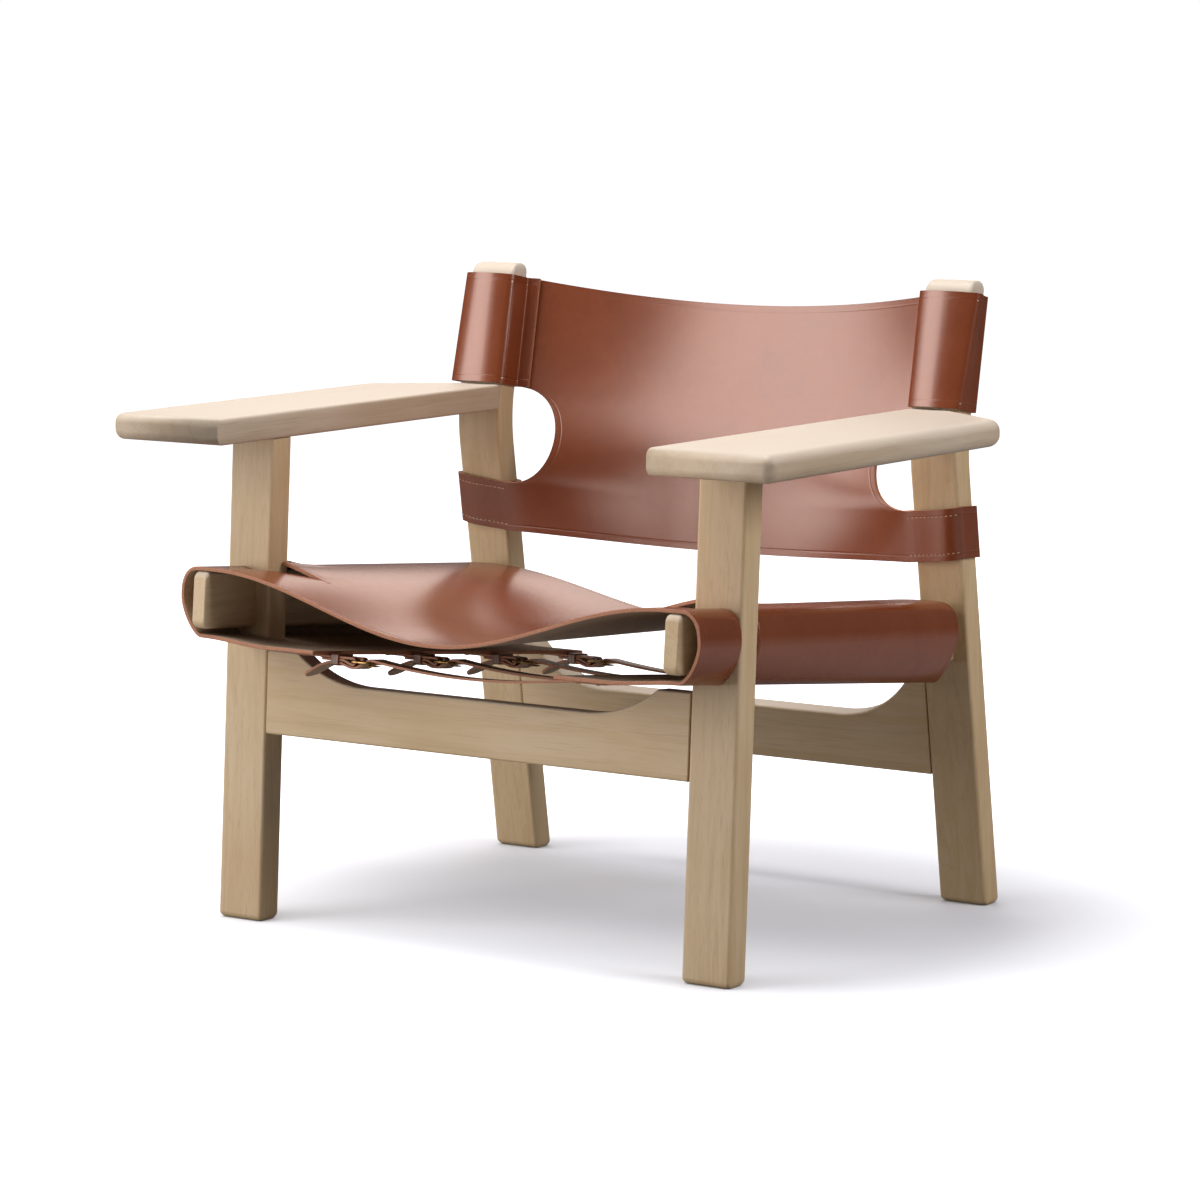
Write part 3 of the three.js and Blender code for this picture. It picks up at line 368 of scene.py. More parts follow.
def grain_side(name, dark, middle, light, roughness):
    """The smooth side of the leather, with a pressed line CREASE millimetres inside every edge."""
    finish, tree, shader, place = new_finish(name)
    cloud = noise(tree, place, scale=11.0, detail=6.0, roughness=0.62, distortion=0.4)
    pores = noise(tree, place, scale=900.0, detail=1.0, roughness=0.4)
    veins = noise(tree, place, scale=160.0, detail=5.0, roughness=0.6)
    base = ramp(tree, cloud, (0.28, dark), (0.52, middle), (0.76, light))
    mottled = mix(tree, 0.16, base, ramp(tree, veins, (0.3, dark), (0.7, light)))
    edge = add_node(tree, "ShaderNodeAttribute", attribute_name="edge_mm").outputs["Fac"]
    from_crease = arithmetic(tree, "ABSOLUTE", arithmetic(tree, "SUBTRACT", edge, CREASE))
    line = between(tree, from_crease, (0.3, 1.3), (1.0, 0.0))
    # The grain side turns darker within 3 mm of every cut edge.
    darker_near_edges = mix(tree, between(tree, edge, (0.5, 3.0), (0.55, 0.0)), mottled, dark)
    grain = bump(tree, pores, strength=0.05, distance=0.0002)
    set_inputs(tree, shader, {
        "Base Color": mix(tree, arithmetic(tree, "MULTIPLY", line, 0.45), darker_near_edges, dark),
        "Roughness": between(tree, veins, WHOLE, (roughness - 0.04, roughness + 0.05)),
        "Normal": bump(tree, line, 0.25, 0.0005, {"Normal": grain}, invert=True),
        "Specular IOR Level": 1.0, "IOR": 1.58, "Specular Tint": (1.0, 0.78, 0.7, 1)})
    return finish


def plain_fibre(name, light, dark, scale, roughness, depth):
    """A fibrous surface: flesh side, cut edge or thread, from one noise in colour and bump."""
    finish, tree, shader, place = new_finish(name)
    fibre = noise(tree, place, scale, detail=6.0, roughness=0.7)
    set_inputs(tree, shader, {
        "Base Color": ramp(tree, fibre, (0.3, dark), (0.7, light)),
        "Normal": bump(tree, fibre, strength=0.4, distance=depth), "Roughness": roughness})
    return finish


def worn_bronze(name):
    """Dark bronze that is rubbed bright in patches."""
    finish, tree, shader, place = new_finish(name)
    rub = noise(tree, place, scale=210.0, detail=4.0, roughness=0.6)
    set_inputs(tree, shader, {
        "Base Color": ramp(tree, rub, (0.35, srgb(96, 70, 44)), (0.62, srgb(176, 138, 88))),
        "Roughness": between(tree, rub, WHOLE, (0.42, 0.22)), "Metallic": 1.0})
    return finish


SADDLE = grain_side("saddle_leather_grain", srgb(110, 50, 22), srgb(122, 57, 26), srgb(130, 64, 31), 0.24)
STRAP = grain_side("strap_leather_grain", srgb(70, 38, 26), srgb(92, 52, 36), srgb(112, 66, 46), 0.46)
FLESH = plain_fibre("leather_flesh_side", srgb(184, 160, 138), srgb(150, 124, 102), 420.0, 0.9, 0.0008)
CUT_EDGE = plain_fibre("leather_cut_edge", srgb(192, 130, 94), srgb(150, 92, 60), 700.0, 0.6, 0.0003)
THREAD = plain_fibre("waxed_thread", srgb(206, 168, 128), srgb(170, 128, 92), 2600.0, 0.6, 0.0002)
BRONZE = worn_bronze("worn_bronze")
SADDLE_SIDES = [SADDLE, FLESH, CUT_EDGE]
BACK_SIDES = [SADDLE, SADDLE, CUT_EDGE]
STRAP_SIDES = [STRAP, FLESH, CUT_EDGE]
print("leather, thread and bronze are ready")

# %% [markdown]
# ## Oak boards
# A leg is a rounded rectangle carried along the board. Because the feet are cut level with the floor, the
# sections are level slices: each slice has its own middle and its own inset, and the insets at the ends
# round the foot and the top. The same ring of points does for the seat rails, with the slices standing
# across the rail.


# %% Board helpers
def ring(half_u, half_v, radius, steps=6):
    """Rounded rectangles, one a slice: a corner is a quarter circle, its centre set in by the radius."""
    turn = (np.linspace(0, np.pi / 2, steps) + np.arange(4)[:, None] * np.pi / 2).ravel()
    sign_u, sign_v = np.repeat([1, -1, -1, 1], steps), np.repeat([1, 1, -1, -1], steps)
    radius = np.broadcast_to(np.asarray(radius, dtype=float), np.shape(half_u))[:, None]
    u = sign_u * (half_u[:, None] - radius) + radius * np.cos(turn)
    v = sign_v * (half_v[:, None] - radius) + radius * np.sin(turn)
    return u, v


def rounded_stops(low, high, low_round, high_round, middle, steps=8):
    """Places along a board, and the share of inset that each rounded end asks for: 1 at the end, then 0."""
    turn = np.linspace(0, np.pi / 2, steps)
    start = low + low_round * (1 - np.cos(turn))
    end = (high - high_round * (1 - np.cos(turn)))[::-1]
    inner = middle[(middle > start[-1]) & (middle < end[0])]
    level = np.zeros(len(inner) + steps)
    low_inset = np.concatenate([1 - np.sin(turn), level])
    high_inset = np.concatenate([level, (1 - np.sin(turn))[::-1]])
    return np.concatenate([start, inner, end]), low_inset, high_inset


def board(name, node, x, y, z, finish):
    """A stack of rings with a cap at each end. Weighted normals keep flat faces flat beside round edges."""
    piece = make_piece(name, np.stack([x, y, z], axis=-1), capped_tubes(1, *x.shape), [finish], [node])
    weighted = piece.modifiers.new("even_shading", "WEIGHTED_NORMAL")
    weighted.weight = 80
    return piece


def level_slices(side, z, face, depth, inset_x, inset_y):
    """A leg from level slices: the ring is shifted to each slice's own middle."""
    u, v = ring(LEG_WIDTH / 2 - inset_x, depth / 2 - inset_y, LEG_EDGE)
    y = (face + depth / 2)[:, None] + v
    return side * (LEG_CENTRE + u), y, np.broadcast_to(z[:, None], u.shape)


print("board helpers are ready")

# %% [markdown]
# The front legs are straight and lean back a little. The rear legs are sawn with a bend just under the
# armrest and have a round top over their thickness. Their feet are rounded all the way round. A straight
# leg has a slice every 40 mm, and a bent one every 10 mm.

# %% Legs
FRONT_TOP, FRONT_TOP_EASE = ARM_TOP - ARM_THICK - JOINT_GAP, 0.4
for word, side in SIDES.items():
    z, foot, _ = rounded_stops(0.0, FRONT_TOP, FOOT_ROUND, FRONT_TOP_EASE, np.arange(40.0, 481, 40))
    slices = level_slices(side, z, front_face(z), FRONT_DEPTH, FOOT_SIDE_ROUND * foot, FOOT_ROUND * foot)
    board(f"board_front_leg_{word}", f"front_leg_{word}", *slices, OAK_UPRIGHT)
    z, foot, top = rounded_stops(0.0, POST_TOP, FOOT_ROUND, POST_TOP_ROUND, np.arange(30.0, 651, 10))
    slices = level_slices(side, z, post_face(z), REAR_DEPTH, FOOT_SIDE_ROUND * (foot + top),
                          FOOT_ROUND * foot + (POST_TOP_ROUND - POST_TOP_FLAT) * top)
    board(f"board_rear_leg_{word}", f"rear_leg_{word}", *slices, OAK_UPRIGHT)
print("four legs")

# %% [markdown]
# The seat rails are boards on edge. They are drawn lying level, then turned about the point where they meet
# the front legs, so that they fall to the back. Towards a rounded end, the section loses some of its
# thickness, height and corner radius.

# %% Seat rails
END_THINNER, END_LOWER, END_SHARPER = 3.0, 8.0, 2.0


def seat_rail(side):
    """Upright slices along the rail, turned by its slope."""
    front, rear = RAIL_START - RAIL_FRONT_REACH, RAIL_AT_POST + REAR_DEPTH + RAIL_REAR_REACH
    length, reach = (rear - front) / np.cos(RAIL_SLOPE), RAIL_FRONT_REACH / np.cos(RAIL_SLOPE)
    along, first, last = rounded_stops(-reach, length - reach, RAIL_END, RAIL_END, np.arange(-40.0, 401, 40))
    inset = first + last
    u, v = ring(RAIL_THICK / 2 - END_THINNER * inset, RAIL_TALL / 2 - END_LOWER * inset,
                RAIL_EDGE - END_SHARPER * inset)
    y = RAIL_START + along[:, None] * np.cos(RAIL_SLOPE) + v * np.sin(RAIL_SLOPE)
    z = RAIL_HEIGHT - along[:, None] * np.sin(RAIL_SLOPE) + v * np.cos(RAIL_SLOPE)
    return side * (LEG_CENTRE + u), y, z


for word, side in SIDES.items():
    board(f"board_seat_rail_{word}", f"seat_rail_{word}", *seat_rail(side), OAK_DEEP)
print("two seat rails")

# %% [markdown]
# The front and rear rails have a straight bottom edge, and a top edge that sweeps up in an arc to a
# shoulder beside each leg. The slices stand across the rail, and only their height changes along it. The
# rail lies in the leaning plane of the legs, so it is drawn upright and then tipped with them. The
# shoulders end just below the seat leather, so the height of its lowest part is worked out here.

# %% Front and rear rails
CROSS_THICK, CROSS_EDGE, CROSS_WAIST, CROSS_END = 24.0, 2.5, 58.5, 1.0
WAIST_STEPS, ARC_STEPS, SHOULDER_STEPS, END_STEPS = 12, 30, 8, 4
SHOULDER_FROM, SHOULDER_TO = 1.0, 1.5
FRONT_BELOW, FRONT_ARC, FRONT_LEVEL = 140.0, 140.0, 40.0
REAR_BELOW, REAR_ARC, REAR_LEVEL = 154.0, 110.0, 24.0
SLACK_FRONT, SLACK_REAR, FLAP_DROP, SHOULDER_GAP = 6.0, 18.0, 6.0, 1.0
BEHIND_RAIL_END, BEFORE_POST = 7.0, 20.0
SEAT_FRONT, SEAT_REAR = RAIL_START - RAIL_FRONT_REACH + BEHIND_RAIL_END, RAIL_AT_POST - BEFORE_POST


def cross_rail(bottom, shoulder, lean, foot, arc, level):
    """Height: the waist in the middle, then waist plus R minus the root of R squared less the run squared.

    R is arc, and level is how wide the shoulder is beside the leg.
    """
    slant = 1 / np.cos(lean)
    low, waist, high = bottom * slant, bottom * slant + CROSS_WAIST, shoulder * slant
    arc_end = LEG_INNER - level
    arc_start = arc_end - np.sqrt(2 * arc * (high - waist) - (high - waist) ** 2)
    half = LEG_INNER - JOINT_GAP
    stops = np.concatenate([np.linspace(0, arc_start, WAIST_STEPS),
                            np.linspace(arc_start, arc_end, ARC_STEPS)[1:],
                            np.linspace(arc_end + SHOULDER_FROM, half - SHOULDER_TO, SHOULDER_STEPS)])
    both = np.concatenate([-stops[:0:-1], stops])
    x, first, last = rounded_stops(-half, half, CROSS_END, CROSS_END, both, END_STEPS)
    run = np.clip(np.abs(x) - arc_start, 0, arc_end - arc_start)
    top = waist + arc - np.sqrt(arc**2 - run**2)
    inset = CROSS_END * (first + last)
    u, v = ring(CROSS_THICK / 2 - inset, (top - low) / 2 - inset, CROSS_EDGE)
    depth, up = CROSS_THICK / 2 + u, ((top + low) / 2)[:, None] + v
    y = foot + depth * np.cos(lean) - up * np.sin(lean)
    z = depth * np.sin(lean) + up * np.cos(lean)
    return np.broadcast_to(x[:, None], u.shape), y, z


def loop_bottom(y):
    """How far the loop hangs below the rail's centre line: half the rail, and slack that grows backwards."""
    slack = SLACK_FRONT + (SLACK_REAR - SLACK_FRONT) * (y - SEAT_FRONT) / (SEAT_REAR - SEAT_FRONT)
    return RAIL_TALL / 2 + slack + LEATHER / 2


def loop_underside(y):
    """Height of the lowest leather at y."""
    return rail_height(y) - loop_bottom(y) - LEATHER / 2


front_bottom, rear_bottom = RAIL_HEIGHT - FRONT_BELOW, RAIL_REAR_HEIGHT - REAR_BELOW
front_shoulder = loop_underside(RAIL_START + CROSS_THICK) - FLAP_DROP - SHOULDER_GAP
rear_shoulder = loop_underside(lower_post_face(rear_bottom)) - SHOULDER_GAP
front_slices = cross_rail(front_bottom, front_shoulder, -FRONT_RAKE, -FOOT_SPACING / 2,
                          FRONT_ARC, FRONT_LEVEL)
rear_slices = cross_rail(rear_bottom, rear_shoulder, REAR_RAKE, FOOT_SPACING / 2, REAR_ARC, REAR_LEVEL)
board("board_front_rail", "front_rail", *front_slices, OAK_ACROSS)
board("board_rear_rail", "rear_rail", *rear_slices, OAK_ACROSS)
print(f"front rail {front_bottom:.0f} to {front_shoulder:.0f} mm above the floor")
print(f"rear rail {rear_bottom:.0f} to {rear_shoulder:.0f} mm above the floor")

# %% [markdown]
# An armrest is a wide board with a round front, outer and rear edge and a nearly square inner edge. It is a
# stack of level slices again: the same outline, drawn in at each height by what the edge's own radius asks
# for. At the back the board runs slanting to the post and its end leans with the post.

# %% Armrests
ARM_LEVELS, CORNER_STEPS = 33, 12


def drawn_in(height, half, radius):
    """How far a round edge of that radius is drawn in at a height above the board's middle plane."""
    over = np.maximum(np.abs(height) - (half - radius), 0)
    return radius - np.sqrt(np.maximum(radius**2 - over**2, 0))


def armrest(side):
    """Level slices of the plan: edges are drawn in as their rounding asks, and corner radii shrink as much.

    Going round from the post: inner edge, front edge, outer front corner, outer rear corner, slanting end.
    """
    half = ARM_THICK / 2
    level = half * np.sin(np.linspace(-np.pi / 2, np.pi / 2, ARM_LEVELS))[:, None]
    pull_front, pull, pull_inner = (drawn_in(level, half, r) for r in (ARM_ROUND, ARM_SIDE_ROUND, ARM_SQUARE))
    post = float(post_face(np.array(ARM_TOP - half))) - JOINT_GAP
    tilt = np.arctan2(ARM_OUTER - LEG_OUTER, ARM_REAR_SLANT)
    outer_x, front_y, inner_x = ARM_OUTER - pull, ARM_FRONT + pull_front, LEG_INNER + pull_inner
    left = np.maximum(ARM_FRONT_CORNER - pull, ARM_LEAST_CORNER)
    turn = np.linspace(-np.pi / 2, 0, CORNER_STEPS)
    front_x, front_arc_y = outer_x - left + left * np.cos(turn), front_y + left + left * np.sin(turn)
    turn = np.linspace(0, tilt, CORNER_STEPS)
    wide = ARM_REAR_CORNER - pull
    centre_y = post - ARM_REAR_SLANT - ARM_REAR_CORNER * np.tan(tilt / 2)
    rear_x, rear_arc_y = outer_x - wide + wide * np.cos(turn), centre_y + wide * np.sin(turn)
    butt = post + level * np.tan(POST_RAKE)
    end_x = LEG_OUTER - pull / np.cos(tilt)
    x = np.hstack([inner_x, inner_x, front_x, rear_x, end_x])
    y = np.hstack([butt, front_y, front_arc_y, rear_arc_y, butt])
    return side * x, y, ARM_TOP - half + np.broadcast_to(level, x.shape)


for word, side in SIDES.items():
    board(f"board_armrest_{word}", f"armrest_{word}", *armrest(side), OAK_ARMREST)
print("two armrests")

# %% [markdown]
# ## Seat leather
# The seat is one thick sheet. Seen from the front, it hangs in a hollow between the rails, turns round each
# rail in a wide loop, and comes back under it as a flap. The hollow is a squared cosine, which leaves the
# rail level, and the loop is a squarish oval. Saddle leather this thick hardly drapes, so a formula is
# truer than a cloth simulation. Each point's rise is a sum of four parts with fixed weights, so a whole row
# of the grid is one line of numpy.

# %% Section of the seat
SAG_FRONT, SAG_REAR = 58.0, 42.0
FLAP_REACH, FLAP_FLAT, FLAP_REAR_CUT = 145.0, 60.0, 10.0
BULGE_ROOM, BULGE_SQUARE, BULGE_DRAWN, BULGE_STEPS = 16.0, 2.5, 1.5, 45
SLIT_END, SLIT_MOUTH, SLOT_START, SLIT_WIDTH = LEG_INNER - 62.0, LEG_INNER - 2.8, LEG_INNER - 0.8, 7.0
SLOT_WIDTH = FRONT_DEPTH + 1.6
HOLLOW_PITCH, FLAP_PITCH = 4.8, 4.3
CREST = (RAIL_TALL / 2 + LEATHER / 2) / np.cos(RAIL_SLOPE) + JOINT_GAP
HOLLOW_EDGE = LEG_CENTRE - RAIL_THICK / 2
LOOP_CENTRE, LOOP_WIDE = LEG_CENTRE + RAIL_THICK / 2 - RAIL_EDGE, RAIL_EDGE + BULGE_ROOM + LEATHER / 2
FLAP_END, FLAP_START = LEG_CENTRE - FLAP_REACH, LOOP_CENTRE - 3.0
FLAP_LEVEL = FLAP_END + FLAP_FLAT


def stops_through(pitch, *marks):
    """Places from the first mark to the last, at about the pitch, with every mark among them."""
    counts = np.maximum(np.rint(np.diff(marks) / pitch).astype(int), 1)
    stretches = [np.linspace(low, high, count, endpoint=False)
                 for low, high, count in zip(marks, marks[1:], counts)]
    return np.concatenate([*stretches, marks[-1:]])


def half_section():
    """Places from the middle of the seat out to the flap's end, with weights for crest, sag, loop and drop.

    The last row is the share by which a place belongs to the underside.
    """
    x_hollow = stops_through(HOLLOW_PITCH, 0, SLIT_END, SLIT_MOUTH, SLOT_START, HOLLOW_EDGE)
    fall = np.cos(np.pi / 2 * x_hollow / HOLLOW_EDGE) ** 2
    turn = np.linspace(np.pi / 2, -np.pi / 2, BULGE_STEPS)
    above = turn > 0
    power = 2 / np.where(above, BULGE_SQUARE, BULGE_DRAWN)
    x_loop = LOOP_CENTRE + LOOP_WIDE * np.maximum(np.cos(turn), 0) ** power
    tall = np.abs(np.sin(turn)) ** power
    x_flap = stops_through(FLAP_PITCH, FLAP_END, SLIT_END, SLIT_MOUTH, SLOT_START, FLAP_START)[::-1]
    run = np.clip((LOOP_CENTRE - x_flap) / (LOOP_CENTRE - FLAP_LEVEL), 0, 1)
    no_hollow, no_loop, no_flap = np.zeros_like(x_hollow), np.zeros_like(turn), np.zeros_like(x_flap)
    return np.stack([np.concatenate(row) for row in (
        (x_hollow, x_loop, x_flap),
        (no_hollow + 1, np.where(above, tall, 0), no_flap),
        (fall, no_loop, no_flap),
        (no_hollow, np.where(above, 0, tall), no_flap + 1),
        (no_hollow, no_loop, run * run * (3 - 2 * run)),
        (no_hollow, np.where(above, 0, np.abs(np.sin(turn))), no_flap + 1))])


half = half_section()
mirrored = half[:, :0:-1] * np.array([-1, 1, 1, 1, 1, 1])[:, None]
x_seat, crest_w, sag_w, loop_w, flap_w, below_w = np.hstack([mirrored, half])
print(len(x_seat), "points across the seat leather")

# %% [markdown]
# The front legs come up through the leather. There is no separate cutting step: the rows of the grid in
# front of the legs and the rows behind them share one line, and that line opens where the slot is. Where
# the slot is shut, the two copies of the line lie on each other. Behind the slit the leather stands up in a
# low lip, as it does on the real chair, because the rail lifts it there, and in front of the slit it dips.

# %% Seat grid
FRONT_ROWS, REAR_ROWS = 16, 72
LIP_RISE, LIP_POWER, LIP_FADE, DIP, DIP_FADE = 8.0, 1.2, 38.0, 4.0, 20.0
FAR, LEAST_OPENING = 1e3, 0.5
slit_share = np.clip((np.abs(x_seat) - SLIT_END) / (SLIT_MOUTH - SLIT_END), 0, 1)


def seat_surface(y):
    """Height of the seat's middle surface at the grid's y: rail line plus the four weighted parts."""
    progress = np.clip((y - SEAT_FRONT) / (SEAT_REAR - SEAT_FRONT), 0, 1)
    sag = SAG_FRONT + (SAG_REAR - SAG_FRONT) * progress
    return rail_height(y) + CREST * crest_w - sag * sag_w - loop_bottom(y) * loop_w - FLAP_DROP * flap_w


def seat_grid():
    """Rows in front of the slot and rows behind it, with each point's distance to the nearest cut edge.

    The slot is shut inside SLIT_END, then a tapering slit, then as wide as the leg is deep. Lip and dip fade
    away from it as an exponential.
    """
    rear = SEAT_REAR - FLAP_REAR_CUT * below_w
    in_slot = np.abs(x_seat) > (SLIT_MOUTH + SLOT_START) / 2
    opening = np.where(in_slot, SLOT_WIDTH, SLIT_WIDTH * slit_share)
    leg_middle = RAIL_START + FRONT_DEPTH / 2
    middle = leg_middle + (seat_surface(np.full_like(x_seat, leg_middle)) - RAIL_HEIGHT) * np.tan(FRONT_RAKE)
    before, behind = middle - opening / 2, middle + opening / 2
    y_front = SEAT_FRONT + (before - SEAT_FRONT) * np.linspace(0, 1, FRONT_ROWS)[:, None]
    y_rear = behind + (rear - behind) * np.linspace(0, 1, REAR_ROWS)[:, None]
    ajar = slit_share * (sag_w > 0)
    z_front = seat_surface(y_front) - DIP * ajar * np.exp(-(before - y_front) / DIP_FADE)
    z_rear = seat_surface(y_rear) + LIP_RISE * ajar**LIP_POWER * np.exp(-(y_rear - behind) / LIP_FADE)
    shut = np.where(opening > LEAST_OPENING, 0.0, FAR)
    flap_edge = np.where(below_w >= 1, np.abs(x_seat) - FLAP_END, FAR)
    edge_front = np.minimum(np.minimum(y_front - SEAT_FRONT, before - y_front + shut), flap_edge)
    edge_rear = np.minimum(np.minimum(rear - y_rear, y_rear - behind + shut), flap_edge)
    fore = np.stack([np.broadcast_to(x_seat, y_front.shape), y_front, z_front], axis=-1)
    aft = np.stack([np.broadcast_to(x_seat, y_rear.shape), y_rear, z_rear], axis=-1)
    return fore, aft, edge_front, edge_rear


fore, aft, edge_fore, edge_aft = seat_grid()
print(len(fore), "rows in front of the slot and", len(aft), "behind it")

# %% [markdown]
# The two halves become one sheet when the points that lie on each other are merged, which leaves the slot
# open.

# %% Seat sheet
MEASURED_ROW, SHEET_EDGE, BORDER_SHIFT = 30, 0.9, 0.000317


def welded(points, faces, values):
    """Points that lie on each other become one, which keeps the smaller of their edge distances.

    Two points are the same if they round to the same micrometre, and BORDER_SHIFT keeps round numbers off
    the border.
    """
    points = points.reshape(-1, 3)
    _, first, home = np.unique(np.round(points + BORDER_SHIFT, 3), axis=0, return_index=True,
                               return_inverse=True)
    home = home.ravel()
    least = np.full(len(first), np.inf)
    np.minimum.at(least, home, values.ravel())
    return points[first], home[faces], least


columns = len(x_seat)
quads = np.concatenate([grid_faces(len(fore), columns),
                        grid_faces(len(aft), columns, start=len(fore) * columns)])
points, quads, edges = welded(np.concatenate([fore, aft]), quads, np.concatenate([edge_fore, edge_aft]))
seat = leather_piece("seat_leather", points, quads, SADDLE_SIDES, "seat_sling", edges,
                     LEATHER, SHEET_EDGE)

# %% [markdown]
# ## Back leather
# The back is one sheet too. Its panel bows backwards between the posts, with a slight belly half way up.
# Above the armrests it passes behind each post, comes round the outside to the front and is sewn to itself
# in the inner corner, so it makes a sleeve. Below the armrests it passes in front of the post and is sewn
# at the back, so it makes a loop. Between them a half round is cut away. So the panel is one grid, whose
# ends follow the half round, and the sleeves and loops are grids carried on from its end columns. Its rows
# come first: they follow the front of the lower post, then a smooth joint past the half round, then the
# back of the upper post.

# %% Back leather: rows
WRAP = 0.4 + LEATHER / 2
PANEL_END, CUTOUT_REACH, CUTOUT_SQUARE = 262.0, 51.5, 0.85
SLEEVE_LOW, SLEEVE_TOP = ARM_TOP + 1.0, POST_TOP - 12.0
STRAP_LOW, STRAP_TALL = 373.0, 55.0
STRAP_ROWS, CUTOUT_ROWS, SLEEVE_ROWS = 16, 34, 28
POST_LOWER = {"start": (FOOT_SPACING / 2, 0.0), "along": (-np.sin(REAR_RAKE), np.cos(REAR_RAKE)),
              "inward": (np.cos(REAR_RAKE), np.sin(REAR_RAKE)), "depth": REAR_DEPTH * np.cos(REAR_RAKE)}
POST_UPPER = {"start": (BEND_Y, BEND_HEIGHT), "along": (np.sin(POST_RAKE), np.cos(POST_RAKE)),
              "inward": (np.cos(POST_RAKE), -np.sin(POST_RAKE)), "depth": REAR_DEPTH * np.cos(POST_RAKE)}


def on_post(post, run, depth):
    """(y, z) of a place on a post: run along its front face, then depth square to that face."""
    return [post["start"][k] + run * post["along"][k] + depth * post["inward"][k] for k in (0, 1)]


def smooth_joint(t, start, start_slope, end, end_slope):
    """The cubic for t from 0 to 1 that has these values and slopes at its ends."""
    return ((2 * t**3 - 3 * t**2 + 1) * start + (t**3 - 2 * t**2 + t) * start_slope
            + (3 * t**2 - 2 * t**3) * end + (t**3 - t**2) * end_slope)


run_low = np.linspace(STRAP_LOW, STRAP_LOW + STRAP_TALL, STRAP_ROWS) / np.cos(REAR_RAKE)
run_high = (np.linspace(SLEEVE_LOW, SLEEVE_TOP, SLEEVE_ROWS) - BEND_HEIGHT) / np.cos(POST_RAKE)
low_y, low_z = on_post(POST_LOWER, run_low, -WRAP)
high_y, high_z = on_post(POST_UPPER, run_high, POST_UPPER["depth"] + WRAP)
step = np.linspace(0, 1, CUTOUT_ROWS)[1:-1]
share = (1 - np.cos(np.pi * step)) / 2
gap_z = high_z[0] - low_z[-1]
mid_y = smooth_joint(share, low_y[-1], -np.tan(REAR_RAKE) * gap_z, high_y[0], np.tan(POST_RAKE) * gap_z)
row_y = np.concatenate([low_y, mid_y, high_y])
row_z = np.concatenate([low_z, low_z[-1] + share * gap_z, high_z])
row_end = np.concatenate([np.full(STRAP_ROWS, PANEL_END),
                          PANEL_END - CUTOUT_REACH * np.sin(np.pi * step) ** CUTOUT_SQUARE,
                          np.full(SLEEVE_ROWS, PANEL_END)])
print(len(row_z), "rows up the back leather")

# %% [markdown]
# The panel is a bowed surface over those rows. It lies deepest in the middle, deeper at the top than at the
# bottom, and its upper edge dips in the middle, as the photograph shows.

# %% Back leather: panel
TOP_DEPTH, TOP_DIP, BOTTOM_DEPTH, BOTTOM_DIP, BELLY = 75.0, 23.0, 28.0, 10.0, 7.0
BOW_TOP, BOW_LOWER, PANEL_COLUMNS, LEAST_CUT = 1.02, 0.48, 161, 0.01


def back_panel():
    """X spreads each row to its end; the bow is one minus X squared, to a power that is larger lower down.

    The belly is a parabola over the height, four times the share times one minus the share.
    """
    upward = (row_z - row_z[0]) / (row_z[-1] - row_z[0])
    x = np.linspace(-1, 1, PANEL_COLUMNS)[None, :] * row_end[:, None]
    bow = (1 - (x / PANEL_END) ** 2) ** (BOW_TOP + BOW_LOWER * (1 - upward[:, None]) ** 3)
    belly = 4 * BELLY * upward * (1 - upward)
    depth = post_face(row_z) + BOTTOM_DEPTH + (TOP_DEPTH - BOTTOM_DEPTH) * upward + belly - row_y
    dip = BOTTOM_DIP + (TOP_DIP - BOTTOM_DIP) * upward
    y, z = row_y[:, None] + depth[:, None] * bow, row_z[:, None] - dip[:, None] * bow
    points = np.stack([x, y, z], axis=-1)
    rise = np.linalg.norm(np.diff(points, axis=0), axis=-1)
    up = np.concatenate([np.zeros((1, x.shape[1])), np.cumsum(rise, axis=0)])
    beside = np.where((row_end < PANEL_END - LEAST_CUT)[:, None], row_end[:, None] - np.abs(x), FAR)
    return points, np.minimum(np.minimum(up, up[-1] - up), beside)


panel, panel_edge = back_panel()
print(panel.size // 3, "points on the back panel")

# %% [markdown]
# Sleeves and loops are paths round a post, seen along the post. Thick leather doesn't lie flat on a board,
# so the fronts of both swell out a little: the sleeve's as a parabola, and the loop's towards its outer
# corner.

# %% Back leather: sleeves and loops
SEW, PATH_PITCH, SWELL_STEPS = 15.0, 1.5, 9
SLEEVE_ROOM, SLEEVE_SWELL, SLEEVE_EASE, SLEEVE_SEAM = 1.2, 7.0, 62.0, 0.8
SLEEVE_CORNERS, SEAM_CORNERS = (5.0, 7.0), (8.0, 4.0)
LOOP_SWELL, LOOP_EASE, LOOP_CORNER, LOOP_SEAM, LOOP_LAP = 4.5, 50.0, 4.6, 0.3, 2.6
FLARE_WIDE, FLARE_DEEP = 26.0, 16.0


def rounded_path(corners, radii, steps=9):
    """A path through corners [x, depth], each eased by a parabola of its radius, with even steps."""
    corners = np.asarray(corners, dtype=float)
    path = [corners[:1]]
    for before, here, after, radius in zip(corners[:-2], corners[1:-1], corners[2:], radii):
        come = (here - before) / np.linalg.norm(here - before)
        leave = (after - here) / np.linalg.norm(after - here)
        cut = radius * np.tan(np.arccos(np.clip(come @ leave, -1, 1)) / 2)
        path.append(eased(np.linspace(0, 1, steps)[:, None], here - come * cut, here, here + leave * cut))
    path = np.concatenate([*path, corners[-1:]])
    length = run_along(path)
    even = np.linspace(0, length[-1], int(length[-1] / PATH_PITCH) + 1)
    return np.stack([np.interp(even, length, path[:, 0]), np.interp(even, length, path[:, 1])], axis=-1)


